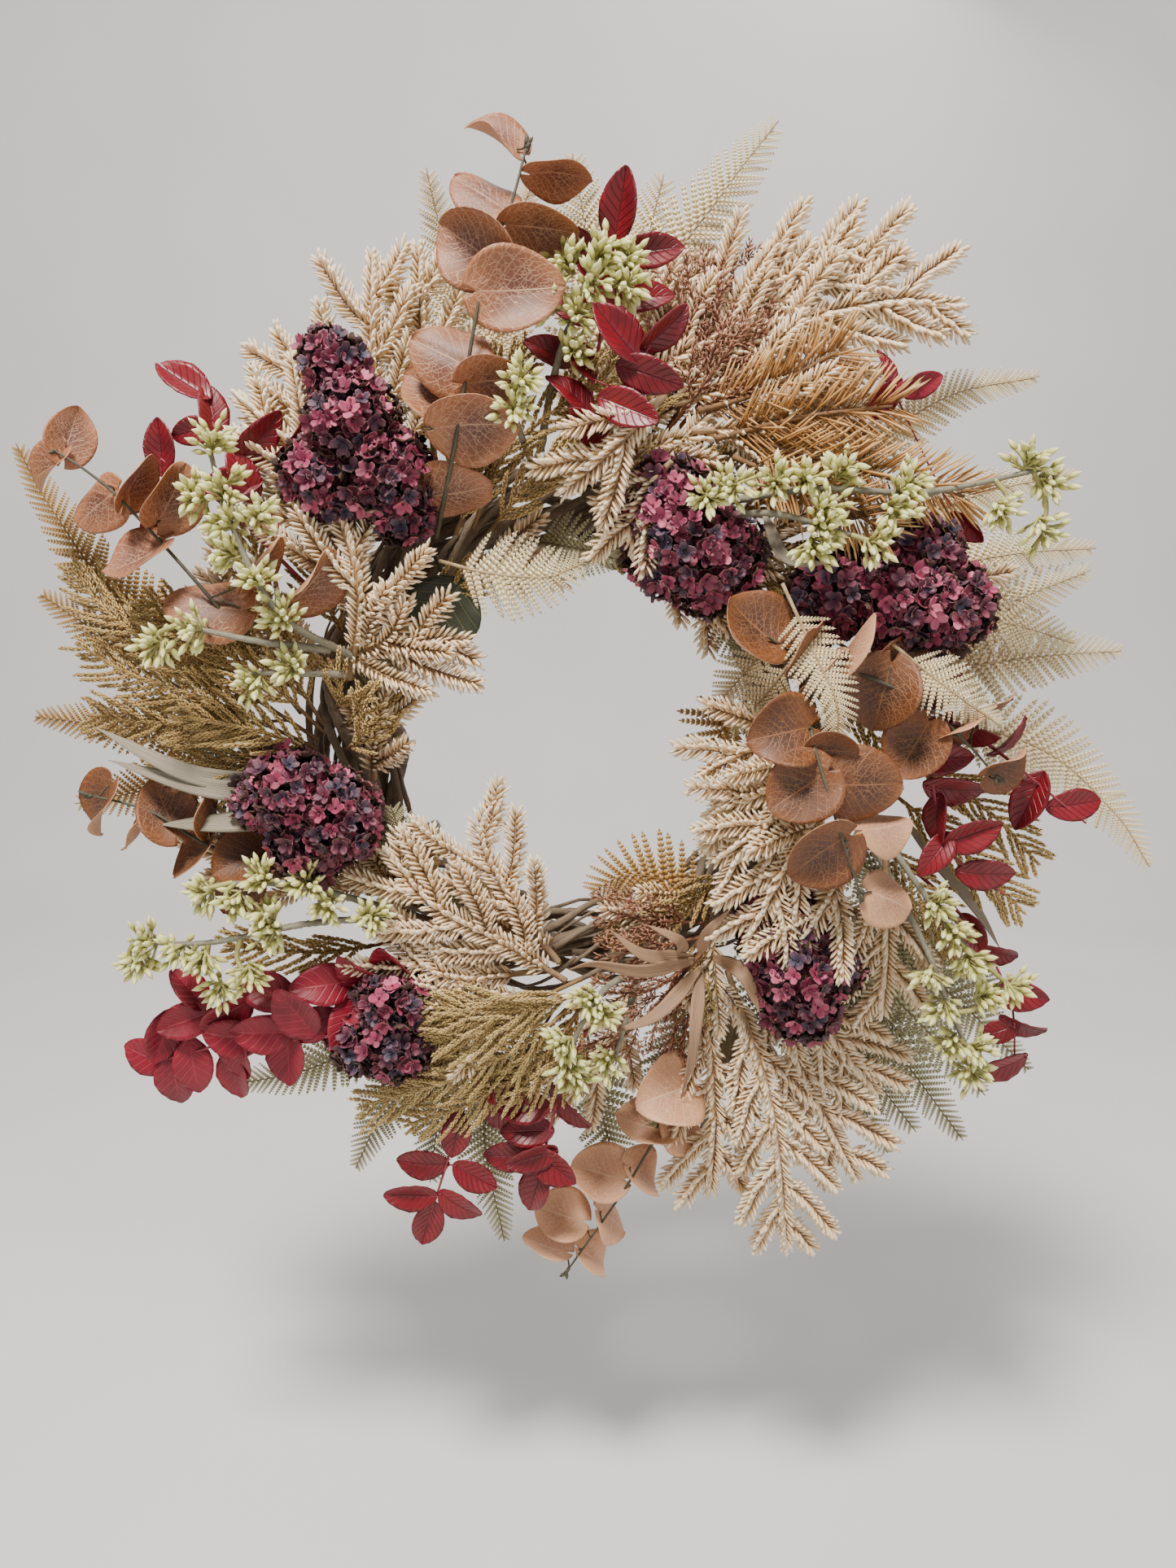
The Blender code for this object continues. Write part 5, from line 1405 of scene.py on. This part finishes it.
def make_hanger():
    """The eye at the back of the ring's top, and the loop that swings in it."""
    loop_low, loop_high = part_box("hanging_loop")
    axis_y = (loop_low.y + loop_high.y) / 2 / MM
    axis_z, back, strand_ring, eye_ring = 30.0, 21.0, 10.5, 3.4
    wire, loop_wire = 0.72, 1.0
    slope = 3 * back / RING_RADIUS  # of the vine strand that the ring goes round
    strand = unit(np.array([1.0, 0.0, -slope]))
    around = unit(np.cross(strand, BACK))
    pile = Pile(840)
    pile.tube(circle(np.array([0.0, back, axis_z]), around, BACK, strand_ring, 48), wire, 8, finish=0)
    eye = circle(np.array([0.0, axis_y, axis_z]), BACK, np.array([0, 0, 1.0]), eye_ring, 36)
    pile.tube(eye, wire, 8, finish=0)
    pile.spray("hanger_eye", ["wire"], "binding_wire")
    half_top, half, drop = 9.0, 13.0, 30.0
    right = [(0, 0), (half_top - 4, 0), (half_top - 1, -0.8), (half_top + 1.2, -3.4), (half - 1, -8),
             (half, half - drop)]
    arc = [(half * math.cos(a), half - drop - half * math.sin(a)) for a in np.linspace(0.26, 2.88, 11)]
    outline = right + arc + [(-x, z) for x, z in reversed(right)]
    loop = Pile(841)
    loop.tube(curve([(x, axis_y, axis_z + z) for x, z in outline], 0.8), loop_wire, 10, finish=0)
    loop.piece("look_hanging_loop", ["wire"], "binding_wire", ["hanging_loop"], body="hanging_loop")


def make_filling():
    """Low sprigs all round the ring, which close the gaps between the sprays."""
    rng = np.random.default_rng(900)
    spruce, olive, khaki = Pile(901), Pile(902), Pile(903)
    sprigs = 46
    for k in range(sprigs):
        clock = k * 360 / sprigs + rng.uniform(-4, 4)
        out = rng.choice([-14, 8, 24])
        low = (clock, out, rng.uniform(20, 34))
        reach = rng.uniform(50, 90)
        lean = rng.uniform(8, 26)
        middle = (clock + lean * 0.5, out + reach * 0.45, rng.uniform(34, 50))
        tip = (clock + lean, out + reach, rng.uniform(28, 46))
        if out < 0:  # a sprig inside the ring follows it
            middle = (clock + 12, out - 6, 46)
            tip = (clock + 26, out - 10, 52)
        if k % 3 == 0:
            spruce_branch(spruce, [low, middle, tip], 30)
        elif k % 3 == 1:
            plume(olive, [low, middle, tip], 24, 4.4, 30, 3.6, 0.6)
        else:
            frond(khaki, [low, middle, tip], 24)
    for places in FILL_SPRUCE:
        spruce_branch(spruce, places, 30)
    for places in FILL_JUNIPER:
        plume(olive, places, 24, 3.7, 32, 3.2, 0.52)
    spruce.piece("fill_spruce", ["spruce", "spruce_stem"], "spruce_cream")
    olive.piece("fill_juniper", ["juniper", "juniper_stem"], "juniper_olive")
    khaki.piece("fill_fern", ["khaki_fern", "khaki_fern_stem"], "fern_cream")


make_vines()
make_wires()
make_hanger()
make_ferns()
make_spruces()
make_junipers()
make_pines()
make_eucalyptus()
make_red_leaves()
make_seeded()
make_heads()
make_grass()
make_lemon_leaf()
make_filling()


# ---- backdrop, light and camera ----


def make_backdrop():
    """A pale floor that curves up into a pale wall, well behind the wreath."""
    s = Shader("studio_paper")
    s.set(Base_Color=s.ramp(s.noise(3, 2), (0.3, colour(214, 212, 208)), (0.7, colour(220, 218, 214))),
          Roughness=0.95)
    floor, wall, bend, near, half_width, top = -0.62, 1.7, 0.5, -3.5, 5.0, 4.0
    profile = [(near, floor), (wall - bend, floor)]
    profile += [(wall - bend + bend * math.sin(a), floor + bend - bend * math.cos(a))
                for a in np.linspace(0.1, math.pi / 2, 12)]
    profile += [(wall, top)]
    points = [(x, y, z) for x in (-half_width, half_width) for y, z in profile]
    count = len(profile)
    mesh = bpy.data.meshes.new("studio_sweep")
    mesh.from_pydata(points, [], [(k, k + count, k + count + 1, k + 1) for k in range(count - 1)])
    mesh.polygons.foreach_set("use_smooth", [True] * (count - 1))
    mesh.materials.append(s.material)
    sweep = bpy.data.objects.new("studio_sweep", mesh)
    bpy.context.scene.collection.objects.link(sweep)


def area_light(name, place_m, size, power, tint=(1, 1, 1)):
    """A round soft light that faces the wreath's middle."""
    light = bpy.data.lights.new(name, "AREA")
    light.shape = "DISK"
    light.size = size
    light.energy = power
    light.color = tint
    thing = bpy.data.objects.new(name, light)
    thing.location = place_m
    thing.rotation_euler = (Vector((0, 0, -0.1)) - Vector(place_m)).to_track_quat("-Z", "Y").to_euler()
    bpy.context.scene.collection.objects.link(thing)


def make_light():
    world = bpy.data.worlds.new("studio")
    world.use_nodes = True
    sky = world.node_tree.nodes["Background"]
    sky.inputs["Color"].default_value = (0.86, 0.88, 0.92, 1)
    sky.inputs["Strength"].default_value = 0.5
    bpy.context.scene.world = world
    area_light("key", (-0.35, -1.0, 1.7), 0.5, 95, (1.0, 0.97, 0.92))
    area_light("fill", (1.6, -1.4, 0.2), 1.6, 9)
    area_light("back", (0.6, 1.3, 1.4), 1.0, 10)


def make_camera():
    """At the photographer's place, a little above the middle and close to the wreath."""
    looks_down = 11.3
    camera = bpy.data.cameras.new("camera")
    camera.lens = 27.03
    camera.sensor_width = 36.0
    camera.clip_start = 0.02
    thing = bpy.data.objects.new("camera", camera)
    thing.location = (0.008, -0.690, 0.009)
    thing.rotation_euler = (math.radians(90 - looks_down), 0, 0)
    bpy.context.scene.collection.objects.link(thing)
    bpy.context.scene.camera = thing


make_backdrop()
make_light()
make_camera()
